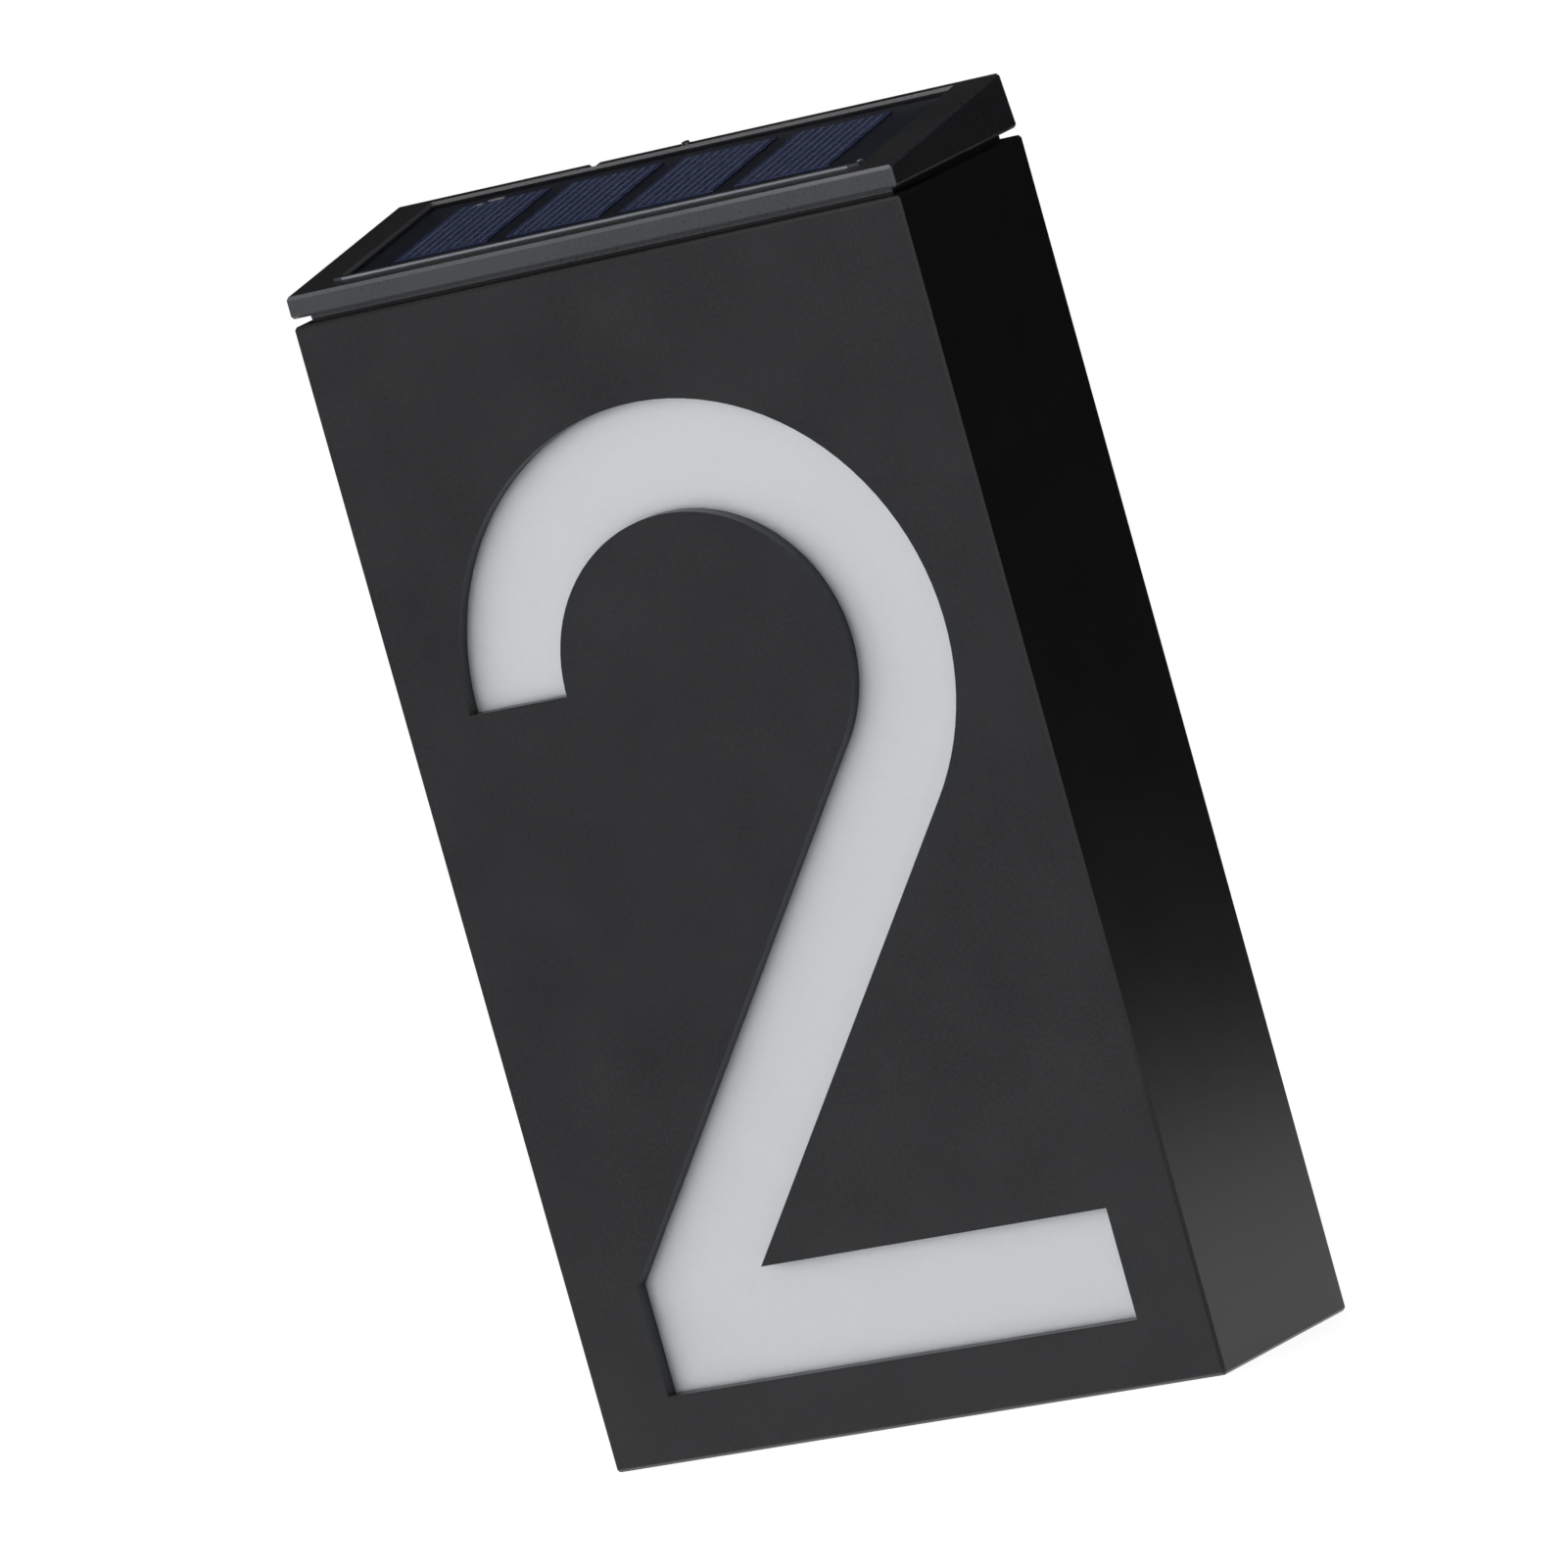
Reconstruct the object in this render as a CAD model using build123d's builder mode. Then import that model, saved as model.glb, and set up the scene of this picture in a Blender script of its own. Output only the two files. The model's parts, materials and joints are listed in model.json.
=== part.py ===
"""Solar house number light: a wall-hung housing with a lit numeral under a wedge-shaped solar cap.

Millimetres. X points right, Y points back to the wall and Z points up. The origin is the middle
of the base. Each piece is its own solid or group of solids, written to parts/ under its own name.
"""
import os
from math import acos, atan, atan2, cos, degrees, hypot, radians, sin, tan

from build123d import *

# Housing
WIDTH = 100.0
DEPTH = 31.0
BODY_HEIGHT = 160.0
TOP_RISE = 1.4
FRONT_WALL = 2.0
SIDE_WALL = 3.0
DECK_THICK = 3.0
REBATE_WALL = 1.5
EDGE_BEVEL = 0.4
INNER_ROUND = 1.5

# Numeral 2: an elliptical bowl, a diagonal tangent to it and a base bar
NUMBER_SIDE_MARGIN = 10.9
NUMBER_TOP_MARGIN = 19.1
BAR_BOTTOM = 9.2
BAR_THICK = 15.3
BAR_LEFT_MARGIN = 11.8
BAR_RIGHT_MARGIN = 11.2
BOWL_RISE = 36.5
STROKE_SIDE = 16.2
STROKE_TOP = 15.2

# Diffuser and reflector tray
DIFFUSER_THICK = 2.0
DIFFUSER_SIDE_MARGIN = 8.5
DIFFUSER_OVERLAP = 3.6
DIFFUSER_ROUND = 2.0
TRAY_WALL = 1.0
TRAY_FLANGE = 1.2
TRAY_RIM = 1.6
TRAY_DRAFT = 25.0
TRAY_GAP = 0.6
STOP_RIB_X = 20.0
STOP_RIB_WIDTH = 2.0
STOP_RIB_THICK = 1.5
STOP_RIB_DEPTH = 3.6

# Light board
LED_BOARD_WIDTH = 12.0
LED_BOARD_HEIGHT = 106.0
BOARD_THICK = 1.0
LED_COUNT = 6
LED_PITCH = 16.0
LED_WIDTH = 3.5
LED_HEIGHT = 2.8
LED_THICK = 1.2
LED_RIM = 0.5
LED_WINDOW_DEPTH = 0.3
LED_CLIP_WIDTH = 6.0
LED_CLIP_THICK = 1.2
LED_CLIP_LAP = 1.0
LED_CLIP_FIT = 0.1
LED_LEAD_INSET = 9.0
LED_LEAD_X = 2.2

# Back cover
COVER_THICK = 2.2
COVER_FIT = 0.2
COVER_ROUND = 1.0
GASKET_THICK = 0.8
GASKET_WIDTH = 1.1
GASKET_FIT = 0.1
POST_SIZE = 5.2
POST_INSET = 5.4
POST_END_INSET = 8.0
POST_HOLE_DEPTH = 9.0
POST_CLEAR = 0.3
COVER_SCREW_RADIUS = 1.15
COVER_SCREW_HEAD = 2.4
COVER_SCREW_LENGTH = 9.0
SCREW_CONE = 82.0
RECESS_SPAN = 1.3
RECESS_WIDTH = 0.3
RECESS_DEPTH = 0.5
PRESS_X = 24.0
PRESS_LOW_Z = 30.0
PRESS_HIGH_Z = 90.0
PRESS_SPAN = 6.0
PRESS_RIB = 1.2

# Keyholes
KEYHOLE_X = 30.0
KEYHOLE_BELOW_DECK = 41.0
KEYHOLE_ENTRY = 4.2
KEYHOLE_SLOT_WIDTH = 4.6
KEYHOLE_TRAVEL = 8.0
POCKET_DEPTH = 6.0
POCKET_CLEAR = 0.8
POCKET_WALL = 1.2

# Battery and its bay
BATTERY_RADIUS = 7.25
BATTERY_LENGTH = 49.2
BATTERY_NUB_RADIUS = 2.75
BATTERY_NUB = 1.3
BATTERY_ROUND = 0.6
BATTERY_FIT = 0.15
BATTERY_BELOW_DECK = 11.7
SPRING_ROOM = 4.2
SPRING_WIRE = 0.35
SPRING_TURNS = 3.0
SPRING_BASE = 4.6
SPRING_CONE = 22.0
CONTACT_THICK = 0.4
CONTACT_SIZE = 9.0
CONTACT_TAIL_WIDTH = 2.0
CONTACT_TAIL_LENGTH = 3.6
CONTACT_TAIL_DROP = 5.2
CONTACT_TAIL_SHIFT = 3.0
BAY_WALL = 1.0
CRADLE_X = 15.0
CRADLE_THICK = 1.6
CRADLE_DEPTH = 3.5

# Battery door
DOOR_THICK = 1.8
DOOR_SEAL = 0.6
DOOR_SEAL_WIDTH = 1.4
DOOR_FIT = 0.15
DOOR_ROUND = 2.0
DOOR_LIP = 1.8
DOOR_END = 3.6
DOOR_SCREW_OFFSET = 4.4
DOOR_PAD_DEPTH = 2.3
DOOR_PAD_MARGIN = 1.2
DOOR_SCREW_RADIUS = 1.2
DOOR_SCREW_HEAD = 2.2
DOOR_SCREW_LENGTH = 8.0
INSERT_RADIUS = 1.9
INSERT_LENGTH = 4.5
INSERT_SINK = 0.2
INSERT_WALL = 1.2
TIP_CLEAR = 0.3
RUNNING_FIT = 0.05

# Control board and switch
CONTROL_WIDTH = 40.0
CONTROL_HEIGHT = 18.0
CONTROL_BELOW_DECK = 35.0
CONTROL_THICK = 1.2
STANDOFF_SIZE = 4.4
BOARD_SCREW_INSET = 3.0
BOARD_SCREW_RADIUS = 0.8
BOARD_SCREW_HEAD = 1.7
BOARD_SCREW_HEAD_THICK = 1.1
BOARD_SCREW_GRIP = 3.0
CHIP_SIZE = 5.0
CHIP_THICK = 1.5
CHIP_BEVEL = 0.3
CHIP_X = 4.0
INDUCTOR_SIZE = 6.0
INDUCTOR_THICK = 3.2
INDUCTOR_BEVEL = 0.8
INDUCTOR_X = -6.0
SWITCH_WIDTH = 9.0
SWITCH_HEIGHT = 4.4
SWITCH_THICK = 3.6
SWITCH_TRAVEL = 2.5
KNOB_STEM_WIDTH = 2.0
KNOB_STEM_HEIGHT = 1.4
KNOB_ROOT = 1.2
KNOB_PAD_WIDTH = 3.0
KNOB_PAD_HEIGHT = 2.6
KNOB_PAD_THICK = 0.7
KNOB_SINK = 0.4
KNOB_GAP = 0.2
SWITCH_SEAL_THICK = 0.6
SWITCH_SEAL_WIDTH = 13.0
SWITCH_SEAL_HEIGHT = 8.0
FINGER_WIDTH = 13.0
FINGER_HEIGHT = 8.0
FINGER_DEPTH = 1.3

# Solar cap
REVEAL = 1.1
NECK_INSET = 2.0
SEAT_FIT = 0.3
LID_FRONT = 3.0
LID_BACK = 9.0
LID_LEAN = 0.8
LID_GASKET_THICK = 0.5
LID_GASKET_WIDTH = 3.0
LID_BEVEL = 0.4
BORDER_SIDE = 6.6
BORDER_FRONT = 3.6
BORDER_REAR = 1.6
LIP_BEVEL = 0.4
BEAD_WIDTH = 0.6
BEAD_HEIGHT = 0.35
PANEL_SINK = 0.4
PANEL_FIT = 0.2
PANEL_COVER_THICK = 0.3
CELL_THICK = 0.2
PANEL_BOARD_THICK = 1.0
TAPE_THICK = 0.2
TAPE_WIDTH = 4.0
CELL_COUNT = 4
CELL_GAP = 2.0
CELL_SIDE_MARGIN = 5.2
CELL_END_MARGIN = 1.2
CORE_FLOOR = 1.2
CORE_FRONT = 12.0
CORE_REAR = 4.5
CORE_SIDE = 17.0
CORE_RIB = 2.0
HOOK_SIDE = 20.0
HOOK_WIDTH = 8.0
HOOK_INSET = 6.0
HOOK_THICK = 1.4
HOOK_FOOT = 1.2
HOOK_FOOT_THICK = 1.3
HOOK_CLEAR = 0.2
HOOK_SLOT_DEPTH = 3.0
LID_SCREW_SIDE = 11.0
LID_SCREW_INSET = 7.5
LID_SCREW_RADIUS = 1.1
LID_SCREW_HEAD = 2.1
LID_SCREW_HEAD_THICK = 1.4
LID_SCREW_GRIP = 3.4
NOTCH_X = -16.5
NOTCH_WIDTH = 1.8
NOTCH_DEPTH = 0.6
GATE_X = -1.0
GATE_RADIUS = 0.55
GATE_HEIGHT = 0.3

# Leads
LEAD_RADIUS = 0.55
WIRE_SIDES = 4
LEAD_SPACE = 1.6
LEAD_FIT = 0.05
LEAD_ROOM = 0.6
LEAD_EXIT = 4.2
LEAD_DROP = 6.0
LEAD_BAY_GAP = 5.25
LEAD_TRAY_GAP = 2.6
GROMMET_SIDE = 13.5
GROMMET_Y = -4.0
GROMMET_RADIUS = 3.0
GROMMET_LIP = 0.8
GROMMET_LIP_THICK = 0.4
LED_LEAD_END_X = 6.0
PANEL_LEAD_END_X = 16.0
BATTERY_LEAD_END_X = 6.0
LEAD_END_INSET = 1.5
BEND_SHARE = 0.45

# Planes worked out from the sizes
FRONT = -DEPTH / 2
BACK = DEPTH / 2
DIFFUSER_Y = FRONT + FRONT_WALL
TRAY_Y = DIFFUSER_Y + DIFFUSER_THICK
COVER_Y = BACK - COVER_THICK
LEDGE_Y = COVER_Y - GASKET_THICK
DECK_Z = BODY_HEIGHT - DECK_THICK

BATTERY_Z = DECK_Z - BATTERY_BELOW_DECK
DOOR_Y = BACK - DOOR_THICK
DOOR_LEDGE_Y = DOOR_Y - DOOR_SEAL
BATTERY_Y = DOOR_Y - 2 * BATTERY_FIT - BATTERY_RADIUS
BAY_FLOOR_Y = BATTERY_Y - BATTERY_RADIUS - BATTERY_FIT
BAY_BOTTOM_Y = BAY_FLOOR_Y - BAY_WALL
BAY_HEIGHT = 2 * (BATTERY_RADIUS + BATTERY_FIT)
BAY_WIDTH = BATTERY_LENGTH + BATTERY_NUB + SPRING_ROOM + 2 * CONTACT_THICK
BATTERY_X0 = -BAY_WIDTH / 2 + CONTACT_THICK + SPRING_ROOM
DOOR_WIDTH = BAY_WIDTH + 2 * (BAY_WALL + DOOR_SCREW_OFFSET + DOOR_END)
DOOR_HEIGHT = BAY_HEIGHT + 2 * DOOR_LIP
DOOR_SCREW_X = BAY_WIDTH / 2 + BAY_WALL + DOOR_SCREW_OFFSET
DOOR_SCREWS = [(-DOOR_SCREW_X, BATTERY_Z), (DOOR_SCREW_X, BATTERY_Z)]
DOOR_BOSS_Y = BACK - DOOR_SCREW_LENGTH - TIP_CLEAR - INSERT_WALL
BATTERY_AXIS = Plane(origin=(BATTERY_X0, BATTERY_Y, BATTERY_Z), x_dir=(1, 0, 0), z_dir=(0, -1, 0))
SPRING_RISE = SPRING_ROOM - 2 * SPRING_WIRE
TAIL_REACH = CONTACT_TAIL_LENGTH / 2 - CONTACT_THICK
TAIL_Y = BATTERY_Y - CONTACT_TAIL_SHIFT
TAIL_Z = BATTERY_Z - CONTACT_TAIL_DROP

TRAY_BACK = BAY_BOTTOM_Y - TRAY_GAP
LED_BOARD_Y = TRAY_BACK - TRAY_WALL - BOARD_THICK

BOWL_SPAN = WIDTH / 2 - NUMBER_SIDE_MARGIN
INNER_SPAN = BOWL_SPAN - STROKE_SIDE
INNER_RISE = BOWL_RISE - STROKE_TOP
BOWL_Z = BODY_HEIGHT - NUMBER_TOP_MARGIN - BOWL_RISE
BAR_TOP = BAR_BOTTOM + BAR_THICK
BAR_LEFT = -WIDTH / 2 + BAR_LEFT_MARGIN
BAR_RIGHT = WIDTH / 2 - BAR_RIGHT_MARGIN

# The diagonal leaves the bar's upper left corner and touches the inner ellipse. With heights
# stretched until that ellipse is a circle, the tangent point follows from the corner's distance.
CORNER_RISE = (BAR_TOP - BOWL_Z) * INNER_SPAN / INNER_RISE
INNER_TANGENT = atan2(CORNER_RISE, BAR_LEFT) + acos(INNER_SPAN / hypot(BAR_LEFT, CORNER_RISE))
LEAN = -tan(INNER_TANGENT) * INNER_SPAN / INNER_RISE
OUTER_TANGENT = -atan(LEAN * BOWL_RISE / BOWL_SPAN)

DIFFUSER_WIDTH = WIDTH - 2 * DIFFUSER_SIDE_MARGIN
DIFFUSER_BOTTOM = BAR_BOTTOM - DIFFUSER_OVERLAP
DIFFUSER_TOP = BODY_HEIGHT - NUMBER_TOP_MARGIN + DIFFUSER_OVERLAP
DIFFUSER_HEIGHT = DIFFUSER_TOP - DIFFUSER_BOTTOM
DIFFUSER_Z = (DIFFUSER_TOP + DIFFUSER_BOTTOM) / 2
LED_BOARD_TOP = DIFFUSER_Z + LED_BOARD_HEIGHT / 2

COVER_WIDTH = WIDTH - 2 * (REBATE_WALL + COVER_FIT)
COVER_HEIGHT = BODY_HEIGHT - 2 * (REBATE_WALL + COVER_FIT)
POST_X = WIDTH / 2 - POST_INSET
POST_LOW = POST_END_INSET
POST_HIGH = BODY_HEIGHT - POST_END_INSET - REBATE_WALL
POSTS = [(x, z) for x in (-POST_X, POST_X) for z in (POST_LOW, POST_HIGH)]
PRESSES = [(x, z) for x in (-PRESS_X, PRESS_X) for z in (PRESS_LOW_Z, PRESS_HIGH_Z)]
KEYHOLE_Z = DECK_Z - KEYHOLE_BELOW_DECK
KEYHOLES = [(-KEYHOLE_X, KEYHOLE_Z), (KEYHOLE_X, KEYHOLE_Z)]
POCKETS = [(x, z + KEYHOLE_TRAVEL / 2) for x, z in KEYHOLES]
POCKET_WIDTH = 2 * (KEYHOLE_ENTRY + POCKET_CLEAR + POCKET_WALL)
POCKET_HEIGHT = POCKET_WIDTH + KEYHOLE_TRAVEL

CONTROL_Z = DECK_Z - CONTROL_BELOW_DECK
SWITCH_FACE_Y = COVER_Y - SWITCH_SEAL_THICK
CONTROL_BACK_Y = SWITCH_FACE_Y - SWITCH_THICK
CONTROL_FRONT_Y = CONTROL_BACK_Y - CONTROL_THICK
STANDOFF_X = CONTROL_WIDTH / 2 - BOARD_SCREW_INSET
STANDOFFS = [(-STANDOFF_X, CONTROL_Z), (STANDOFF_X, CONTROL_Z)]
KNOB_OFF_X = -SWITCH_TRAVEL / 2
KNOB_SLOT = SWITCH_TRAVEL + KNOB_STEM_WIDTH + 2 * KNOB_GAP

LID_BASE = BODY_HEIGHT + REVEAL
NECK_Z = BODY_HEIGHT + LID_GASKET_THICK
LID_TILT = atan((LID_BACK - LID_FRONT) / (DEPTH - LID_LEAN))
LID_SLOPE = (DEPTH - LID_LEAN) / cos(LID_TILT)
LID_TOP = Plane(
    origin=(0, FRONT, LID_BASE + LID_FRONT),
    x_dir=(1, 0, 0),
    z_dir=(0, -sin(LID_TILT), cos(LID_TILT)),
)
WINDOW_WIDTH = WIDTH - 2 * (BORDER_SIDE + LIP_BEVEL)
WINDOW_FRONT = BORDER_FRONT + LIP_BEVEL
WINDOW_REAR = LID_SLOPE - BORDER_REAR - LIP_BEVEL
WINDOW_LENGTH = WINDOW_REAR - WINDOW_FRONT
WINDOW_MID = (WINDOW_REAR + WINDOW_FRONT) / 2
PANEL_WIDTH = WINDOW_WIDTH - 2 * PANEL_FIT
PANEL_LENGTH = WINDOW_LENGTH - 2 * PANEL_FIT
CELL_TOP = PANEL_SINK + PANEL_COVER_THICK
CELL_BASE = CELL_TOP + CELL_THICK
BOARD_BASE = CELL_BASE + PANEL_BOARD_THICK
POCKET_BASE = BOARD_BASE + TAPE_THICK
CELL_FIELD = PANEL_WIDTH - 2 * CELL_SIDE_MARGIN
CELL_WIDTH = (CELL_FIELD - (CELL_COUNT - 1) * CELL_GAP) / CELL_COUNT
CELL_LENGTH = PANEL_LENGTH - 2 * CELL_END_MARGIN
NECK_WIDTH = WIDTH - 2 * NECK_INSET
NECK_DEPTH = DEPTH - 2 * NECK_INSET
HOOK_X = WIDTH / 2 - HOOK_SIDE
HOOK_Y = FRONT + HOOK_INSET
HOOK_FOOT_Z = DECK_Z - HOOK_CLEAR
CORE_FRONT_Y = FRONT + CORE_FRONT
CORE_REAR_Y = BACK - CORE_REAR
CORE_HALF = WIDTH / 2 - CORE_SIDE
LID_SCREW_X = WIDTH / 2 - LID_SCREW_SIDE
LID_SCREW_Y = BACK - LID_SCREW_INSET
GROMMET_X = WIDTH / 2 - GROMMET_SIDE


def at_depth(y):
    """Sketch plane facing the front at depth y, with its axes along X and Z."""
    return Plane.XZ.offset(-y)


def facing_back(x, y, z):
    """Plane at a point, looking back along Y."""
    return Plane(origin=(x, y, z), x_dir=(1, 0, 0), z_dir=(0, 1, 0))


def facing_front(x, y, z):
    """Plane at a point, looking forward along Y."""
    return Plane(origin=(x, y, z), x_dir=(1, 0, 0), z_dir=(0, -1, 0))


def lid_height(y, below):
    """Height, at depth y, of a plane that lies the given distance below the cap's sloping top."""
    return LID_BASE + LID_FRONT + (y - FRONT) * tan(LID_TILT) - below / cos(LID_TILT)


def screw(outline, head_radius):
    """Screw turned from half its outline, with a cross recess: head at the origin, tip down Z."""
    with BuildPart() as made:
        with BuildSketch(Plane.XZ):
            with BuildLine():
                Polyline(*outline, close=True)
            make_face()
        revolve(axis=Axis.Z)
        with BuildSketch(Plane.XY):
            Rectangle(RECESS_SPAN * head_radius, RECESS_WIDTH * head_radius)
            Rectangle(RECESS_WIDTH * head_radius, RECESS_SPAN * head_radius)
        extrude(amount=-RECESS_DEPTH, mode=Mode.SUBTRACT)
    return made.part


def flush_screw(head, shank, length):
    """Countersunk screw: its length counts from the flush top."""
    height = (head - shank) / tan(radians(SCREW_CONE / 2))
    return screw([(0, 0), (head, 0), (shank, -height), (shank, -length), (0, -length)], head)


def pan_screw(head, thick, shank, grip):
    """Flat-headed screw: its grip counts from under the head."""
    tip = -thick - grip
    return screw([(0, 0), (head, 0), (head, -thick), (shank, -thick), (shank, tip), (0, tip)], head)


def bends(route):
    """Radius at each corner of a route, as large as the shorter of its two runs allows."""
    points = [Vector(*point) for point in route]
    runs = [after - before for before, after in zip(points, points[1:])]
    return [
        BEND_SHARE * min(run.length, following.length) / tan(radians(run.get_angle(following) / 2))
        for run, following in zip(runs, runs[1:])
    ]


def lead(route):
    """Square wire along a route of straight runs joined by tangent arcs."""
    with BuildPart() as made:
        with BuildLine() as path:
            FilletPolyline(*route, radius=bends(route))
        with BuildSketch(Plane(origin=route[0], z_dir=path.line % 0)):
            RegularPolygon(LEAD_RADIUS, WIRE_SIDES)
        sweep()
    return made.part


def least_gap(path, wire_radius, turns):
    """Smallest space between one turn of a coil and the next, measured on points."""
    steps = 60
    points = [path @ (n / (steps * turns)) for n in range(int(steps * turns) + 1)]
    pairs = ((n, m) for n in range(len(points)) for m in range(n + steps // 2, len(points)))
    return min((points[n] - points[m]).length for n, m in pairs) - 2 * wire_radius


# Housing: five walls around a cavity that is open at the back, with a top that slopes to the front
with BuildPart() as housing:
    with BuildSketch(Plane.YZ.offset(-WIDTH / 2)):
        with BuildLine():
            Polyline((FRONT, 0), (BACK, 0), (BACK, BODY_HEIGHT + TOP_RISE), (FRONT, BODY_HEIGHT), close=True)
        make_face()
    extrude(amount=WIDTH)
    chamfer(housing.edges() - housing.faces().sort_by(Axis.Y)[-1].edges(), EDGE_BEVEL)
    # Level seat for the cap's neck, sunk into the sloping top
    with BuildSketch(Plane.XY.offset(BODY_HEIGHT)):
        Rectangle(NECK_WIDTH + 2 * SEAT_FIT, NECK_DEPTH + 2 * SEAT_FIT)
    extrude(amount=TOP_RISE, mode=Mode.SUBTRACT)
    with BuildSketch(at_depth(BACK)):
        with Locations((0, (DECK_Z + SIDE_WALL) / 2)):
            RectangleRounded(WIDTH - 2 * SIDE_WALL, DECK_Z - SIDE_WALL, INNER_ROUND)
    extrude(amount=BACK - DIFFUSER_Y, mode=Mode.SUBTRACT)
    # Rebate for the gasket and the cover
    with BuildSketch(at_depth(BACK)):
        with Locations((0, BODY_HEIGHT / 2)):
            RectangleRounded(WIDTH - 2 * REBATE_WALL, BODY_HEIGHT - 2 * REBATE_WALL, COVER_ROUND)
    extrude(amount=BACK - LEDGE_Y, mode=Mode.SUBTRACT)
    # Screw posts for the cover
    with BuildSketch(at_depth(DIFFUSER_Y)):
        with Locations(*POSTS):
            Rectangle(POST_SIZE, POST_SIZE)
    extrude(amount=DIFFUSER_Y - COVER_Y)
    with Locations(*[facing_back(x, COVER_Y, z) for x, z in POSTS]):
        Hole(COVER_SCREW_RADIUS, POST_HOLE_DEPTH)
    # Stops that hold the diffuser and the tray in height
    with BuildSketch(at_depth(DIFFUSER_Y)):
        with Locations((-STOP_RIB_X, SIDE_WALL), (STOP_RIB_X, SIDE_WALL)):
            Rectangle(STOP_RIB_WIDTH, DIFFUSER_BOTTOM - SIDE_WALL, align=(Align.CENTER, Align.MIN))
        with Locations((-STOP_RIB_X, DIFFUSER_TOP), (STOP_RIB_X, DIFFUSER_TOP)):
            Rectangle(STOP_RIB_WIDTH, STOP_RIB_THICK, align=(Align.CENTER, Align.MIN))
    extrude(amount=-STOP_RIB_DEPTH)
    # Numeral cut through the front wall
    with BuildSketch(at_depth(FRONT)):
        with BuildLine():
            outer = EllipticalCenterArc(
                (0, BOWL_Z),
                BOWL_SPAN,
                BOWL_RISE,
                degrees(OUTER_TANGENT),
                arc_size=180 - degrees(OUTER_TANGENT),
            )
            inner = EllipticalCenterArc(
                (0, BOWL_Z),
                INNER_SPAN,
                INNER_RISE,
                degrees(INNER_TANGENT),
                arc_size=180 - degrees(INNER_TANGENT),
            )
            Line(outer @ 1, inner @ 1)
            Polyline(
                outer @ 0,
                ((outer @ 0).X - LEAN * ((outer @ 0).Y - BAR_TOP), BAR_TOP),
                (BAR_RIGHT, BAR_TOP),
                (BAR_RIGHT, BAR_BOTTOM),
                (BAR_LEFT, BAR_BOTTOM),
                (BAR_LEFT, BAR_TOP),
                inner @ 0,
            )
        make_face()
    extrude(amount=-FRONT_WALL, mode=Mode.SUBTRACT)
    # Slots for the cap's hooks, and holes for its screws and for the lead grommet
    with BuildSketch(Plane.XY.offset(BODY_HEIGHT)):
        with Locations((-HOOK_X, HOOK_Y - HOOK_CLEAR), (HOOK_X, HOOK_Y - HOOK_CLEAR)):
            Rectangle(HOOK_WIDTH + 2 * HOOK_CLEAR, HOOK_SLOT_DEPTH, align=(Align.CENTER, Align.MIN))
        with Locations((-LID_SCREW_X, LID_SCREW_Y), (LID_SCREW_X, LID_SCREW_Y)):
            Circle(LID_SCREW_RADIUS + RUNNING_FIT)
        with Locations((GROMMET_X, GROMMET_Y)):
            Circle(GROMMET_RADIUS)
    extrude(amount=-DECK_THICK, mode=Mode.SUBTRACT)

# Opal diffuser, flat behind the numeral
with BuildPart() as diffuser:
    with BuildSketch(at_depth(DIFFUSER_Y)):
        with Locations((0, DIFFUSER_Z)):
            RectangleRounded(DIFFUSER_WIDTH, DIFFUSER_HEIGHT, DIFFUSER_ROUND)
    extrude(amount=-DIFFUSER_THICK)

# Reflector tray: a flared dish with a flat rim
TRAY_DRAW = (TRAY_BACK - TRAY_Y) * tan(radians(TRAY_DRAFT))
TRAY_OPENING_WIDTH = DIFFUSER_WIDTH - 2 * TRAY_RIM
TRAY_OPENING_HEIGHT = DIFFUSER_HEIGHT - 2 * TRAY_RIM
TRAY_FLOOR_Y = TRAY_BACK - TRAY_WALL
LED_CLIP_Y = LED_BOARD_Y - LED_CLIP_FIT
LED_LEAD_Z = LED_BOARD_TOP - LED_LEAD_INSET
with BuildPart() as light_tray:
    with BuildSketch(at_depth(TRAY_Y)):
        with Locations((0, DIFFUSER_Z)):
            RectangleRounded(DIFFUSER_WIDTH, DIFFUSER_HEIGHT, DIFFUSER_ROUND)
    extrude(amount=-TRAY_FLANGE)
    for wall, back, way in ((TRAY_WALL, TRAY_BACK, Mode.ADD), (0, TRAY_FLOOR_Y, Mode.SUBTRACT)):
        for y, draw in ((TRAY_Y, 0), (back, TRAY_DRAW)):
            grow = 2 * (wall - draw)
            with BuildSketch(at_depth(y)):
                with Locations((0, DIFFUSER_Z)):
                    Rectangle(TRAY_OPENING_WIDTH + grow, TRAY_OPENING_HEIGHT + grow)
        loft(mode=way)
    # Clips over the two ends of the light board, and a slot for its leads
    with BuildSketch(Plane.YZ.offset(-LED_CLIP_WIDTH / 2)):
        for side in (-1, 1):
            end_z = DIFFUSER_Z + side * (LED_BOARD_HEIGHT / 2 + LED_CLIP_FIT)
            with BuildLine():
                Polyline(
                    (TRAY_FLOOR_Y, end_z),
                    (LED_CLIP_Y, end_z),
                    (LED_CLIP_Y, end_z - side * LED_CLIP_LAP),
                    (LED_CLIP_Y - LED_CLIP_THICK, end_z - side * LED_CLIP_LAP),
                    (LED_CLIP_Y - LED_CLIP_THICK, end_z + side * LED_CLIP_THICK),
                    (TRAY_FLOOR_Y, end_z + side * LED_CLIP_THICK),
                    close=True,
                )
            make_face()
    extrude(amount=LED_CLIP_WIDTH)
    with BuildSketch(at_depth(TRAY_FLOOR_Y)):
        with Locations((0, LED_LEAD_Z)):
            Rectangle(2 * (LED_LEAD_X + LEAD_RADIUS + LEAD_ROOM), 2 * (LEAD_RADIUS + LEAD_ROOM))
    extrude(amount=-TRAY_WALL, mode=Mode.SUBTRACT)

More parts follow.
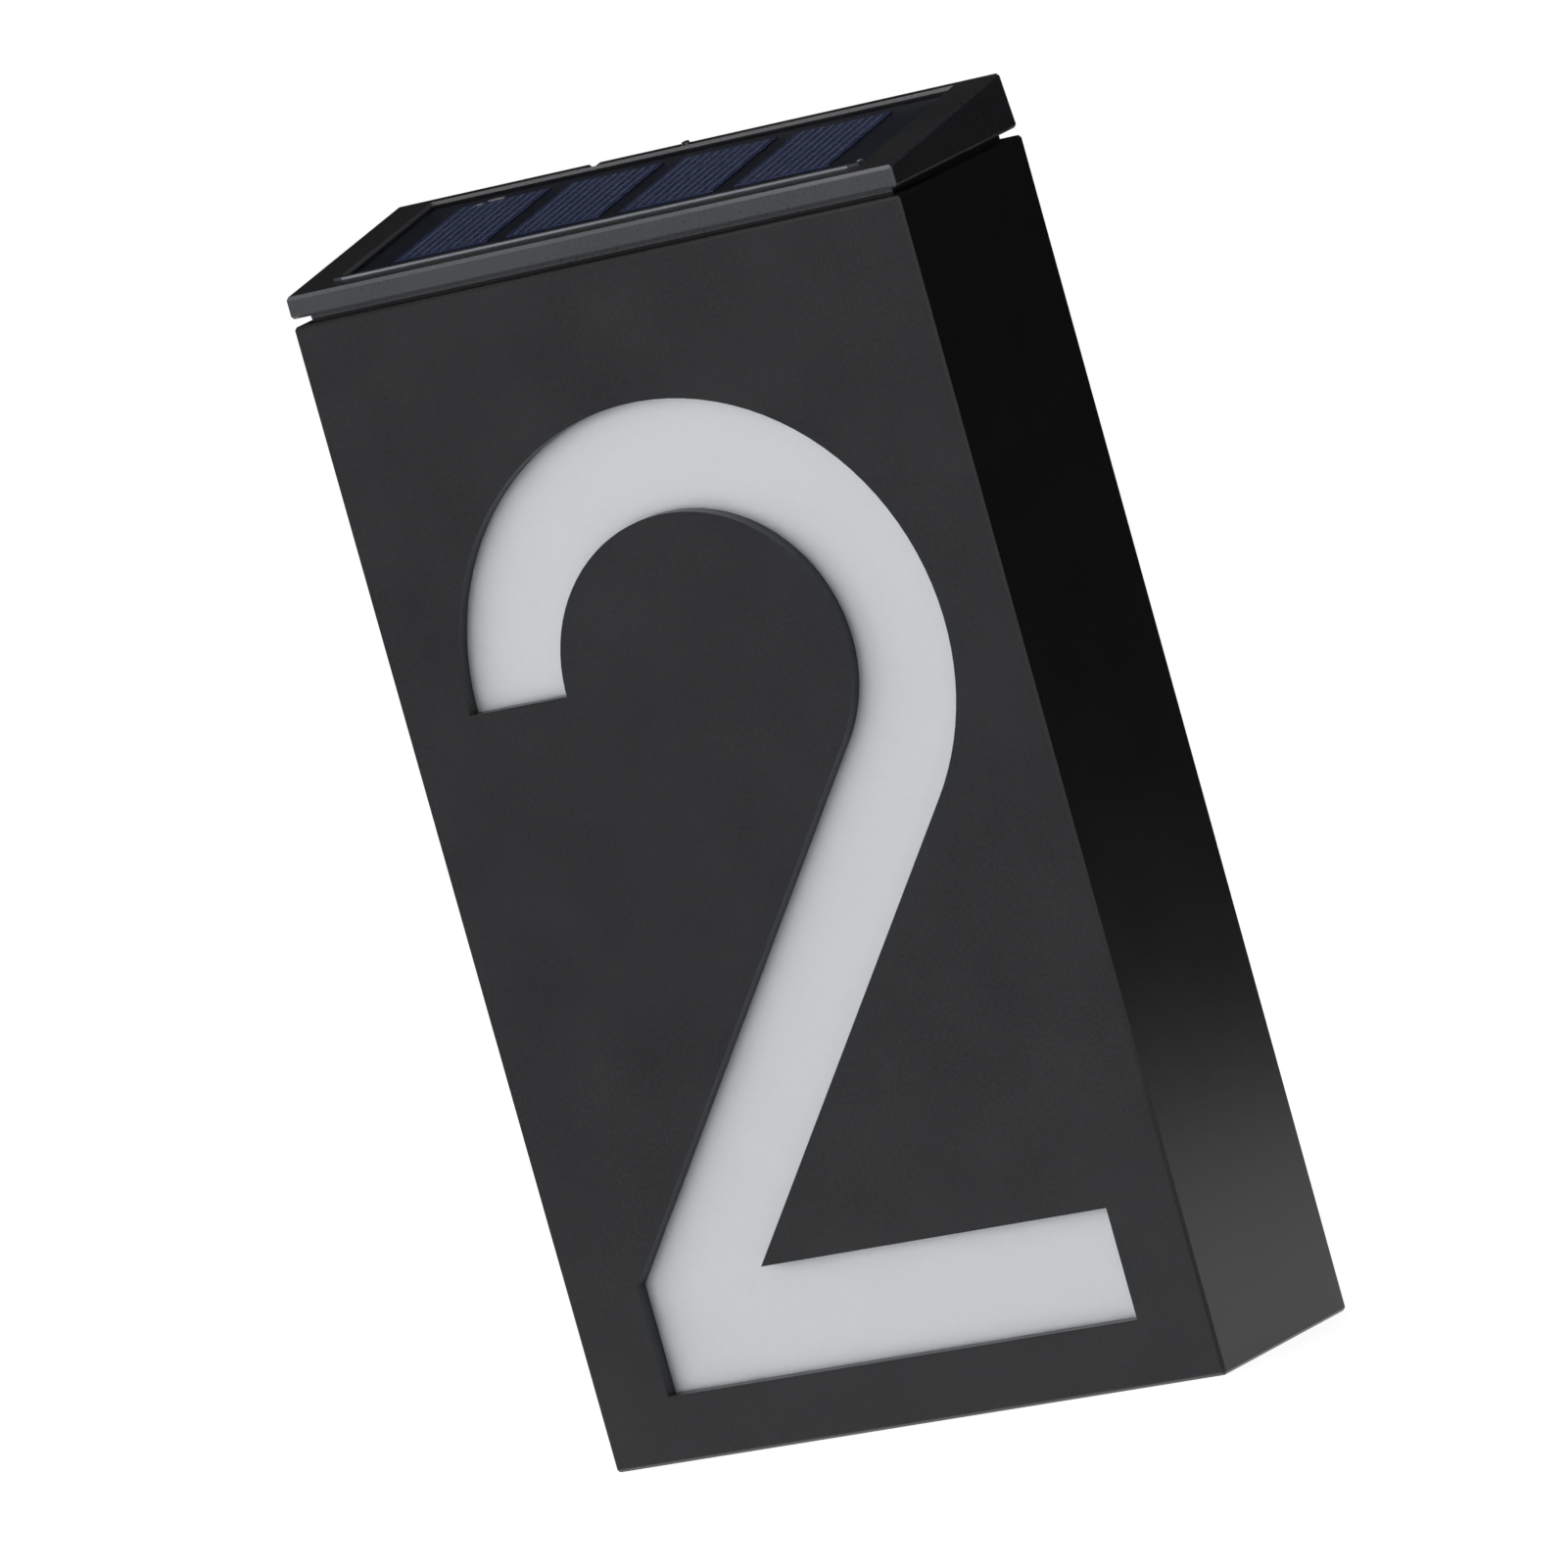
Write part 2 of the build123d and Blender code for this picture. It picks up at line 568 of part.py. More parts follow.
# Light board with its diodes
LED_HEIGHTS = [DIFFUSER_Z + (n - (LED_COUNT - 1) / 2) * LED_PITCH for n in range(LED_COUNT)]
with BuildPart() as led_board:
    with BuildSketch(at_depth(LED_BOARD_Y)):
        with Locations((0, DIFFUSER_Z)):
            Rectangle(LED_BOARD_WIDTH, LED_BOARD_HEIGHT)
    extrude(amount=-BOARD_THICK)

with BuildPart() as leds:
    with BuildSketch(at_depth(LED_BOARD_Y)):
        with Locations(*[(0, z) for z in LED_HEIGHTS]):
            Rectangle(LED_WIDTH, LED_HEIGHT)
    extrude(amount=LED_THICK)
    with BuildSketch(at_depth(LED_BOARD_Y - LED_THICK)):
        with Locations(*[(0, z) for z in LED_HEIGHTS]):
            Rectangle(LED_WIDTH - 2 * LED_RIM, LED_HEIGHT - 2 * LED_RIM)
    extrude(amount=-LED_WINDOW_DEPTH, mode=Mode.SUBTRACT)

# Back cover with the battery bay, the keyhole pockets and the switch window
with BuildPart() as back_cover:
    with BuildSketch(at_depth(BACK)):
        with Locations((0, BODY_HEIGHT / 2)):
            RectangleRounded(COVER_WIDTH, COVER_HEIGHT, COVER_ROUND)
    extrude(amount=COVER_THICK)
    with BuildSketch(at_depth(COVER_Y)):
        with Locations((0, BATTERY_Z)):
            Rectangle(DOOR_WIDTH + 2 * DOOR_PAD_MARGIN, DOOR_HEIGHT + 2 * DOOR_PAD_MARGIN)
    extrude(amount=DOOR_PAD_DEPTH)
    with BuildSketch(at_depth(COVER_Y)):
        with Locations((0, BATTERY_Z)):
            Rectangle(BAY_WIDTH + 2 * BAY_WALL, BAY_HEIGHT + 2 * BAY_WALL)
    extrude(amount=COVER_Y - BAY_BOTTOM_Y)
    # Square bosses for the door's inserts, and stand-offs for the control board
    with BuildSketch(at_depth(COVER_Y)):
        with Locations(*DOOR_SCREWS):
            Rectangle(2 * (INSERT_RADIUS + INSERT_WALL), 2 * (INSERT_RADIUS + INSERT_WALL))
    extrude(amount=COVER_Y - DOOR_BOSS_Y)
    with BuildSketch(at_depth(COVER_Y)):
        with Locations(*STANDOFFS):
            Rectangle(STANDOFF_SIZE, STANDOFF_SIZE)
    extrude(amount=COVER_Y - CONTROL_BACK_Y)
    # Cross-shaped posts that press on the tray, and boxes behind the keyholes
    with BuildSketch(at_depth(COVER_Y)):
        with Locations(*PRESSES):
            Rectangle(PRESS_SPAN, PRESS_RIB)
            Rectangle(PRESS_RIB, PRESS_SPAN)
    extrude(amount=COVER_Y - TRAY_BACK)
    with BuildSketch(at_depth(COVER_Y)):
        with Locations(*POCKETS):
            Rectangle(POCKET_WIDTH, POCKET_HEIGHT)
    extrude(amount=POCKET_DEPTH + POCKET_WALL)
    # Room for the housing's corner posts beside the door pad
    with BuildSketch(at_depth(COVER_Y)):
        with Locations(*POSTS):
            Rectangle(POST_SIZE + 2 * POST_CLEAR, POST_SIZE + 2 * POST_CLEAR)
    extrude(amount=DOOR_PAD_DEPTH, mode=Mode.SUBTRACT)
    # Battery bay with its two cradles, open to the back
    with BuildSketch(at_depth(BACK)):
        with Locations((0, BATTERY_Z)):
            Rectangle(BAY_WIDTH, BAY_HEIGHT)
    extrude(amount=BACK - BAY_FLOOR_Y, mode=Mode.SUBTRACT)
    with BuildSketch(at_depth(BAY_FLOOR_Y)):
        with Locations((-CRADLE_X, BATTERY_Z), (CRADLE_X, BATTERY_Z)):
            Rectangle(CRADLE_THICK, BAY_HEIGHT)
    extrude(amount=-CRADLE_DEPTH)
    with Locations((0, BATTERY_Y, BATTERY_Z)):
        Cylinder(BATTERY_RADIUS + BATTERY_FIT / 2, BATTERY_LENGTH, rotation=(0, 90, 0), mode=Mode.SUBTRACT)
    with Locations((0, TAIL_Y, TAIL_Z)):
        Box(BAY_WIDTH + 2 * BAY_WALL, CONTACT_THICK, CONTACT_TAIL_WIDTH, mode=Mode.SUBTRACT)
    # Door recess, and the bores for its inserts and captive screws
    with BuildSketch(at_depth(BACK)):
        with Locations((0, BATTERY_Z)):
            RectangleRounded(DOOR_WIDTH + 2 * DOOR_FIT, DOOR_HEIGHT + 2 * DOOR_FIT, DOOR_ROUND)
    extrude(amount=BACK - DOOR_LEDGE_Y, mode=Mode.SUBTRACT)
    with Locations(*[facing_back(x, DOOR_LEDGE_Y, z) for x, z in DOOR_SCREWS]):
        Hole(INSERT_RADIUS, DOOR_LEDGE_Y - DOOR_BOSS_Y - INSERT_WALL)
    # Pockets behind the keyholes, and the keyholes themselves
    with BuildSketch(at_depth(COVER_Y)):
        with Locations(*POCKETS):
            Rectangle(POCKET_WIDTH - 2 * POCKET_WALL, POCKET_HEIGHT - 2 * POCKET_WALL)
    extrude(amount=POCKET_DEPTH, mode=Mode.SUBTRACT)
    with BuildSketch(at_depth(BACK)):
        with Locations(*KEYHOLES):
            Circle(KEYHOLE_ENTRY)
            SlotCenterPoint((0, KEYHOLE_TRAVEL / 2), (0, KEYHOLE_TRAVEL), KEYHOLE_SLOT_WIDTH)
    extrude(amount=COVER_THICK, mode=Mode.SUBTRACT)
    # Finger recess and slot for the switch
    with BuildSketch(at_depth(BACK)):
        with Locations((0, CONTROL_Z)):
            SlotOverall(FINGER_WIDTH, FINGER_HEIGHT)
    extrude(amount=FINGER_DEPTH, mode=Mode.SUBTRACT)
    with BuildSketch(at_depth(BACK)):
        with Locations((0, CONTROL_Z)):
            Rectangle(KNOB_SLOT, KNOB_STEM_HEIGHT + 2 * KNOB_GAP)
    extrude(amount=COVER_THICK, mode=Mode.SUBTRACT)
    # Screw holes
    with Locations(*[facing_front(x, CONTROL_BACK_Y, z) for x, z in STANDOFFS]):
        Hole(BOARD_SCREW_RADIUS, BOARD_SCREW_GRIP)
    with Locations(*[facing_back(x, BACK, z) for x, z in POSTS]):
        CounterSinkHole(COVER_SCREW_RADIUS, COVER_SCREW_HEAD, COVER_THICK, SCREW_CONE)

GASKET_OUTER_WIDTH = WIDTH - 2 * (REBATE_WALL + GASKET_FIT)
GASKET_OUTER_HEIGHT = BODY_HEIGHT - 2 * (REBATE_WALL + GASKET_FIT)
with BuildPart() as cover_gasket:
    with BuildSketch(at_depth(LEDGE_Y)):
        with Locations((0, BODY_HEIGHT / 2)):
            RectangleRounded(GASKET_OUTER_WIDTH, GASKET_OUTER_HEIGHT, COVER_ROUND)
            Rectangle(
                GASKET_OUTER_WIDTH - 2 * GASKET_WIDTH,
                GASKET_OUTER_HEIGHT - 2 * GASKET_WIDTH,
                mode=Mode.SUBTRACT,
            )
    extrude(amount=-GASKET_THICK)

with BuildPart() as cover_screws:
    with Locations(*[facing_back(x, BACK, z) for x, z in POSTS]):
        add(flush_screw(COVER_SCREW_HEAD, COVER_SCREW_RADIUS, COVER_SCREW_LENGTH))

# Battery door: plate, seal, captive screws, and the brass inserts they turn into
with BuildPart() as battery_door:
    with BuildSketch(at_depth(BACK)):
        with Locations((0, BATTERY_Z)):
            RectangleRounded(DOOR_WIDTH, DOOR_HEIGHT, DOOR_ROUND - DOOR_FIT)
    extrude(amount=DOOR_THICK)
    with Locations(*[facing_back(x, BACK, z) for x, z in DOOR_SCREWS]):
        CounterSinkHole(DOOR_SCREW_RADIUS, DOOR_SCREW_HEAD, DOOR_THICK, SCREW_CONE)

with BuildPart() as door_gasket:
    with BuildSketch(at_depth(DOOR_LEDGE_Y)):
        with Locations((0, BATTERY_Z)):
            Rectangle(BAY_WIDTH + 2 * DOOR_SEAL_WIDTH, BAY_HEIGHT + 2 * DOOR_SEAL_WIDTH)
            Rectangle(BAY_WIDTH, BAY_HEIGHT, mode=Mode.SUBTRACT)
    extrude(amount=-DOOR_SEAL)

with BuildPart() as door_screws:
    with Locations(*[facing_back(x, BACK, z) for x, z in DOOR_SCREWS]):
        add(flush_screw(DOOR_SCREW_HEAD, DOOR_SCREW_RADIUS, DOOR_SCREW_LENGTH))

with BuildPart() as door_inserts:
    with BuildSketch(at_depth(DOOR_LEDGE_Y - INSERT_SINK)):
        with Locations(*DOOR_SCREWS):
            Circle(INSERT_RADIUS)
            Circle(DOOR_SCREW_RADIUS + RUNNING_FIT, mode=Mode.SUBTRACT)
    extrude(amount=INSERT_LENGTH)

# Rechargeable cell with its spring and contact plates
with BuildPart() as battery:
    with BuildSketch(BATTERY_AXIS):
        with BuildLine():
            Polyline(
                (0, 0),
                (0, BATTERY_RADIUS - BATTERY_ROUND),
                (BATTERY_ROUND, BATTERY_RADIUS),
                (BATTERY_LENGTH - BATTERY_ROUND, BATTERY_RADIUS),
                (BATTERY_LENGTH, BATTERY_RADIUS - BATTERY_ROUND),
                (BATTERY_LENGTH, BATTERY_NUB_RADIUS),
                (BATTERY_LENGTH + BATTERY_NUB, BATTERY_NUB_RADIUS),
                (BATTERY_LENGTH + BATTERY_NUB, 0),
                close=True,
            )
        make_face()
    revolve(axis=Axis(BATTERY_AXIS.origin, BATTERY_AXIS.x_dir))

with BuildPart() as battery_spring:
    with BuildLine():
        coil = Helix(
            SPRING_RISE / SPRING_TURNS,
            SPRING_RISE,
            SPRING_BASE,
            center=(BATTERY_X0 - SPRING_ROOM + SPRING_WIRE, BATTERY_Y, BATTERY_Z),
            direction=(1, 0, 0),
            cone_angle=-SPRING_CONE,
        )
    with BuildSketch(Plane(origin=coil @ 0, z_dir=coil % 0)):
        RegularPolygon(SPRING_WIRE, WIRE_SIDES)
    sweep(is_frenet=True)

with BuildPart() as battery_contacts:
    for side in (-1, 1):
        with Locations((side * (BAY_WIDTH - CONTACT_THICK) / 2, BATTERY_Y, BATTERY_Z)):
            Box(CONTACT_THICK, CONTACT_SIZE, CONTACT_SIZE)
        with Locations((side * (BAY_WIDTH / 2 + TAIL_REACH), TAIL_Y, TAIL_Z)):
            Box(CONTACT_TAIL_LENGTH, CONTACT_THICK, CONTACT_TAIL_WIDTH)

# Control board with its parts, and the power switch
with BuildPart() as control_board:
    with BuildSketch(at_depth(CONTROL_FRONT_Y)):
        with Locations((0, CONTROL_Z)):
            Rectangle(CONTROL_WIDTH, CONTROL_HEIGHT)
        with Locations(*STANDOFFS):
            Circle(BOARD_SCREW_RADIUS, mode=Mode.SUBTRACT)
    extrude(amount=-CONTROL_THICK)

CONTROL_SCREW_GRIP = CONTROL_THICK + BOARD_SCREW_GRIP
with BuildPart() as board_screws:
    with Locations(*[facing_front(x, CONTROL_FRONT_Y - BOARD_SCREW_HEAD_THICK, z) for x, z in STANDOFFS]):
        add(pan_screw(BOARD_SCREW_HEAD, BOARD_SCREW_HEAD_THICK, BOARD_SCREW_RADIUS, CONTROL_SCREW_GRIP))

with BuildPart() as controller_chip:
    with BuildSketch(at_depth(CONTROL_FRONT_Y)):
        with Locations((CHIP_X, CONTROL_Z)):
            Rectangle(CHIP_SIZE, CHIP_SIZE)
    extrude(amount=CHIP_THICK)
    chamfer(controller_chip.faces().sort_by(Axis.Y)[0].edges(), CHIP_BEVEL)

with BuildPart() as inductor:
    with BuildSketch(at_depth(CONTROL_FRONT_Y)):
        with Locations((INDUCTOR_X, CONTROL_Z)):
            Rectangle(INDUCTOR_SIZE, INDUCTOR_SIZE)
    extrude(amount=INDUCTOR_THICK)
    chamfer(inductor.edges().filter_by(Axis.Y), INDUCTOR_BEVEL)

with BuildPart() as switch_body:
    with BuildSketch(at_depth(SWITCH_FACE_Y)):
        with Locations((0, CONTROL_Z)):
            Rectangle(SWITCH_WIDTH, SWITCH_HEIGHT)
    extrude(amount=SWITCH_THICK)
    with BuildSketch(at_depth(SWITCH_FACE_Y)):
        with Locations((0, CONTROL_Z)):
            Rectangle(KNOB_SLOT, KNOB_STEM_HEIGHT + 2 * KNOB_GAP)
    extrude(amount=KNOB_ROOT + KNOB_GAP, mode=Mode.SUBTRACT)

with BuildPart() as switch_seal:
    with BuildSketch(at_depth(SWITCH_FACE_Y)):
        with Locations((0, CONTROL_Z)):
            Rectangle(SWITCH_SEAL_WIDTH, SWITCH_SEAL_HEIGHT)
            Rectangle(KNOB_SLOT, KNOB_STEM_HEIGHT + 2 * KNOB_GAP, mode=Mode.SUBTRACT)
    extrude(amount=-SWITCH_SEAL_THICK)

KNOB_TOP_Y = BACK - KNOB_SINK
KNOB_PAD_Y = KNOB_TOP_Y - KNOB_PAD_THICK
with BuildPart() as switch_knob:
    with BuildSketch(at_depth(KNOB_TOP_Y)):
        with Locations((KNOB_OFF_X, CONTROL_Z)):
            Rectangle(KNOB_PAD_WIDTH, KNOB_PAD_HEIGHT)
    extrude(amount=KNOB_PAD_THICK)
    with BuildSketch(at_depth(KNOB_PAD_Y)):
        with Locations((KNOB_OFF_X, CONTROL_Z)):
            Rectangle(KNOB_STEM_WIDTH, KNOB_STEM_HEIGHT)
    extrude(amount=KNOB_PAD_Y - SWITCH_FACE_Y + KNOB_ROOT)

# Solar cap: a wedge on an inset neck, with a bevelled window for the panel
with BuildPart() as solar_lid:
    with BuildSketch(Plane.YZ.offset(-WIDTH / 2)):
        with BuildLine():
            Polyline(
                (FRONT, LID_BASE),
                (BACK, LID_BASE + TOP_RISE),
                (BACK - LID_LEAN, LID_BASE + LID_BACK),
                (FRONT, LID_BASE + LID_FRONT),
                close=True,
            )
        make_face()
    extrude(amount=WIDTH)
    chamfer(solar_lid.edges(), LID_BEVEL)
    with BuildSketch(Plane.XY.offset(NECK_Z)):
        Rectangle(NECK_WIDTH, NECK_DEPTH)
    extrude(amount=LID_BASE + TOP_RISE - NECK_Z)
    # Window and its bevel
    with BuildSketch(LID_TOP):
        with Locations((0, WINDOW_MID)):
            Rectangle(WINDOW_WIDTH, WINDOW_LENGTH)
    extrude(amount=-POCKET_BASE, mode=Mode.SUBTRACT)
    with BuildSketch(LID_TOP):
        with Locations((0, WINDOW_MID)):
            Rectangle(WINDOW_WIDTH + 2 * LIP_BEVEL, WINDOW_LENGTH + 2 * LIP_BEVEL)
    with BuildSketch(LID_TOP.offset(-LIP_BEVEL)):
        with Locations((0, WINDOW_MID)):
            Rectangle(WINDOW_WIDTH, WINDOW_LENGTH)
    loft(mode=Mode.SUBTRACT)
    # Bead along the window's front edge
    with BuildSketch(LID_TOP):
        with Locations((0, BORDER_FRONT)):
            Rectangle(WIDTH - 2 * BORDER_SIDE, BEAD_WIDTH, align=(Align.CENTER, Align.MAX))
    extrude(amount=BEAD_HEIGHT)
    # Shallow notch and gate mark on the rear rim
    with BuildSketch(LID_TOP):
        with Locations((NOTCH_X, LID_SLOPE)):
            Rectangle(NOTCH_WIDTH, 2 * BORDER_REAR)
    extrude(amount=-NOTCH_DEPTH, mode=Mode.SUBTRACT)
    with BuildSketch(LID_TOP):
        with Locations((GATE_X, LID_SLOPE - BORDER_REAR / 2)):
            Circle(GATE_RADIUS)
    extrude(amount=GATE_HEIGHT)
    # Coring from below, with a rib left in the middle
    with BuildSketch(Plane.YZ.offset(-CORE_HALF), Plane.YZ.offset(CORE_RIB / 2)):
        with BuildLine():
            Polyline(
                (CORE_FRONT_Y, NECK_Z),
                (CORE_REAR_Y, NECK_Z),
                (CORE_REAR_Y, lid_height(CORE_REAR_Y, POCKET_BASE + CORE_FLOOR)),
                (CORE_FRONT_Y, lid_height(CORE_FRONT_Y, POCKET_BASE + CORE_FLOOR)),
                close=True,
            )
        make_face()
    extrude(amount=CORE_HALF - CORE_RIB / 2, mode=Mode.SUBTRACT)
    # Hooks that reach through the deck and catch under it
    with BuildSketch(Plane.YZ.offset(HOOK_X - HOOK_WIDTH / 2), Plane.YZ.offset(-HOOK_X - HOOK_WIDTH / 2)):
        with BuildLine():
            Polyline(
                (HOOK_Y, NECK_Z),
                (HOOK_Y + HOOK_THICK, NECK_Z),
                (HOOK_Y + HOOK_THICK, HOOK_FOOT_Z - HOOK_FOOT_THICK),
                (HOOK_Y - HOOK_FOOT, HOOK_FOOT_Z - HOOK_FOOT_THICK),
                (HOOK_Y - HOOK_FOOT, HOOK_FOOT_Z),
                (HOOK_Y, HOOK_FOOT_Z),
                close=True,
            )
        make_face()
    extrude(amount=HOOK_WIDTH)
    # Bores for the two screws and the leads
    with BuildSketch(Plane.XY.offset(NECK_Z)):
        with Locations((-LID_SCREW_X, LID_SCREW_Y), (LID_SCREW_X, LID_SCREW_Y)):
            Circle(LID_SCREW_RADIUS)
    extrude(amount=LID_SCREW_GRIP, mode=Mode.SUBTRACT)
    with BuildSketch(Plane.XY.offset(NECK_Z)):
        with Locations((GROMMET_X, GROMMET_Y)):
            Circle(LEAD_SPACE / 2 + LEAD_RADIUS + LEAD_ROOM)
    extrude(amount=lid_height(GROMMET_Y, PANEL_SINK) - NECK_Z, mode=Mode.SUBTRACT)

with BuildPart() as lid_gasket:
    with BuildSketch(Plane.XY.offset(BODY_HEIGHT)):
        Rectangle(NECK_WIDTH, NECK_DEPTH)
        Rectangle(NECK_WIDTH - 2 * LID_GASKET_WIDTH, NECK_DEPTH - 2 * LID_GASKET_WIDTH, mode=Mode.SUBTRACT)
    extrude(amount=LID_GASKET_THICK)

LID_SCREW_REACH = DECK_THICK + LID_GASKET_THICK + LID_SCREW_GRIP
with BuildPart() as lid_screws:
    for x in (-LID_SCREW_X, LID_SCREW_X):
        with Locations(Plane(origin=(x, LID_SCREW_Y, DECK_Z - LID_SCREW_HEAD_THICK), z_dir=(0, 0, -1))):
            add(pan_screw(LID_SCREW_HEAD, LID_SCREW_HEAD_THICK, LID_SCREW_RADIUS, LID_SCREW_REACH))

# Solar panel: cover sheet over four cells on a board, taped into the window
with BuildPart() as panel_cover:
    with BuildSketch(LID_TOP.offset(-PANEL_SINK)):
        with Locations((0, WINDOW_MID)):
            Rectangle(PANEL_WIDTH, PANEL_LENGTH)
    extrude(amount=-PANEL_COVER_THICK)

with BuildPart() as solar_cells:
    with BuildSketch(LID_TOP.offset(-CELL_TOP)):
        with Locations((0, WINDOW_MID)):
            with GridLocations(CELL_WIDTH + CELL_GAP, 0, CELL_COUNT, 1):
                Rectangle(CELL_WIDTH, CELL_LENGTH)
    extrude(amount=-CELL_THICK)

with BuildPart() as panel_board:
    with BuildSketch(LID_TOP.offset(-CELL_BASE)):
        with Locations((0, WINDOW_MID)):
            Rectangle(PANEL_WIDTH, PANEL_LENGTH)
    extrude(amount=-PANEL_BOARD_THICK)

with BuildPart() as panel_tape:
    with BuildSketch(LID_TOP.offset(-BOARD_BASE)):
        with Locations((0, WINDOW_MID)):
            with GridLocations(0, PANEL_LENGTH - TAPE_WIDTH, 1, 2):
                Rectangle(PANEL_WIDTH, TAPE_WIDTH)
    extrude(amount=-TAPE_THICK)

# Rubber grommet in the deck, and the leads
with BuildPart() as lead_grommet:
    with BuildSketch(Plane.XY.offset(DECK_Z)):
        with Locations((GROMMET_X, GROMMET_Y)):
            Circle(GROMMET_RADIUS)
    extrude(amount=DECK_THICK)
    for z in (DECK_Z - GROMMET_LIP_THICK, BODY_HEIGHT):
        with BuildSketch(Plane.XY.offset(z)):
            with Locations((GROMMET_X, GROMMET_Y)):
                Circle(GROMMET_RADIUS + GROMMET_LIP)
        extrude(amount=GROMMET_LIP_THICK)
    with Locations((GROMMET_X, GROMMET_Y, BODY_HEIGHT + GROMMET_LIP_THICK)):
        Hole(LEAD_SPACE / 2 + LEAD_RADIUS + LEAD_FIT)

BOARD_TOP_ROW = CONTROL_Z + CONTROL_HEIGHT / 2 - LEAD_END_INSET
BOARD_LOW_ROW = CONTROL_Z - CONTROL_HEIGHT / 2 + LEAD_END_INSET
LEAD_LEVEL_Y = CONTROL_FRONT_Y - LEAD_EXIT
PANEL_LEAD_X = BAY_WIDTH / 2 + BAY_WALL + LEAD_BAY_GAP
PANEL_ROUTES = [
    [
        (GROMMET_X, GROMMET_Y + shift, lid_height(GROMMET_Y + shift - LEAD_RADIUS, BOARD_BASE)),
        (GROMMET_X, GROMMET_Y + shift, DECK_Z - LEAD_DROP),
        (PANEL_LEAD_X, TRAY_BACK + LEAD_TRAY_GAP + shift, BATTERY_Z - BATTERY_RADIUS),
        (PANEL_LEAD_END_X + 2 * shift, LEAD_LEVEL_Y, BOARD_LOW_ROW),
        (PANEL_LEAD_END_X + 2 * shift, CONTROL_FRONT_Y, BOARD_LOW_ROW),
    ]
    for shift in (-LEAD_SPACE / 2, LEAD_SPACE / 2)
]
with BuildPart() as panel_leads:
    for route in PANEL_ROUTES:
        add(lead(route))

TAIL_END_X = BAY_WIDTH / 2 + CONTACT_TAIL_LENGTH - CONTACT_THICK - LEAD_RADIUS
TAIL_END_Z = TAIL_Z - CONTACT_TAIL_WIDTH / 2
BATTERY_ROUTES = [
    [
        (side * TAIL_END_X, TAIL_Y, TAIL_END_Z),
        (side * TAIL_END_X, TAIL_Y, TAIL_END_Z - LEAD_EXIT),
        (side * BATTERY_LEAD_END_X, LEAD_LEVEL_Y, BOARD_TOP_ROW),
        (side * BATTERY_LEAD_END_X, CONTROL_FRONT_Y, BOARD_TOP_ROW),
    ]
    for side in (-1, 1)
]
with BuildPart() as battery_leads:
    for route in BATTERY_ROUTES:
        add(lead(route))

LED_ROUTES = [
    [
        (side * LED_LEAD_X, LED_BOARD_Y + BOARD_THICK, LED_LEAD_Z),
        (side * LED_LEAD_X, LED_BOARD_Y + BOARD_THICK + LEAD_EXIT, LED_LEAD_Z),
        (side * LED_LEAD_END_X, LEAD_LEVEL_Y, BOARD_LOW_ROW),
        (side * LED_LEAD_END_X, CONTROL_FRONT_Y, BOARD_LOW_ROW),
    ]
    for side in (-1, 1)
]
with BuildPart() as led_leads:
    for route in LED_ROUTES:
        add(lead(route))

PIECES = {
    "housing": housing,
    "diffuser": diffuser,
    "light_tray": light_tray,
    "led_board": led_board,
    "leds": leds,
    "led_leads": led_leads,
    "back_cover": back_cover,
    "cover_gasket": cover_gasket,
    "cover_screws": cover_screws,
    "battery_door": battery_door,
    "door_gasket": door_gasket,
    "door_screws": door_screws,
    "door_inserts": door_inserts,
    "battery": battery,
    "battery_spring": battery_spring,
    "battery_contacts": battery_contacts,
    "battery_leads": battery_leads,
    "control_board": control_board,
    "board_screws": board_screws,
    "controller_chip": controller_chip,
    "inductor": inductor,
    "switch_body": switch_body,
    "switch_seal": switch_seal,
    "switch_knob": switch_knob,
    "solar_lid": solar_lid,
    "lid_gasket": lid_gasket,
    "lid_screws": lid_screws,
    "panel_cover": panel_cover,
    "solar_cells": solar_cells,
    "panel_board": panel_board,
    "panel_tape": panel_tape,
    "lead_grommet": lead_grommet,
    "panel_leads": panel_leads,
}
os.makedirs("parts", exist_ok=True)
for name, piece in PIECES.items():
    piece.part.label = name
    export_step(piece.part, f"parts/{name}.step")
tightest = min(radius for route in PANEL_ROUTES + BATTERY_ROUTES + LED_ROUTES for radius in bends(route))
print("spring coil, least gap to itself:", round(least_gap(coil, SPRING_WIRE, SPRING_TURNS), 2), "mm")
print("leads, tightest bend:", round(tightest, 2), "mm")
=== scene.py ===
# %% [markdown]
# # Dressing a solar house number light
# The light is a slim black box that hangs beside a front door. The numeral is cut through its front and a
# milky plate glows behind the cut. A wedge-shaped cap on top carries a small solar panel. The solid model
# already exists and is fixed; this lesson gives it its finishes and remakes the pieces that a solid
# modeller leaves plain. Everything is in metres: X to the right, Y back to the wall, Z up, and the light
# stands on Z = 0.

# %% Load the solid model
import json
from math import atan, atan2, cos, pi, radians, sin, tan, tau
import bpy
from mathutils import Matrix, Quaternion, Vector

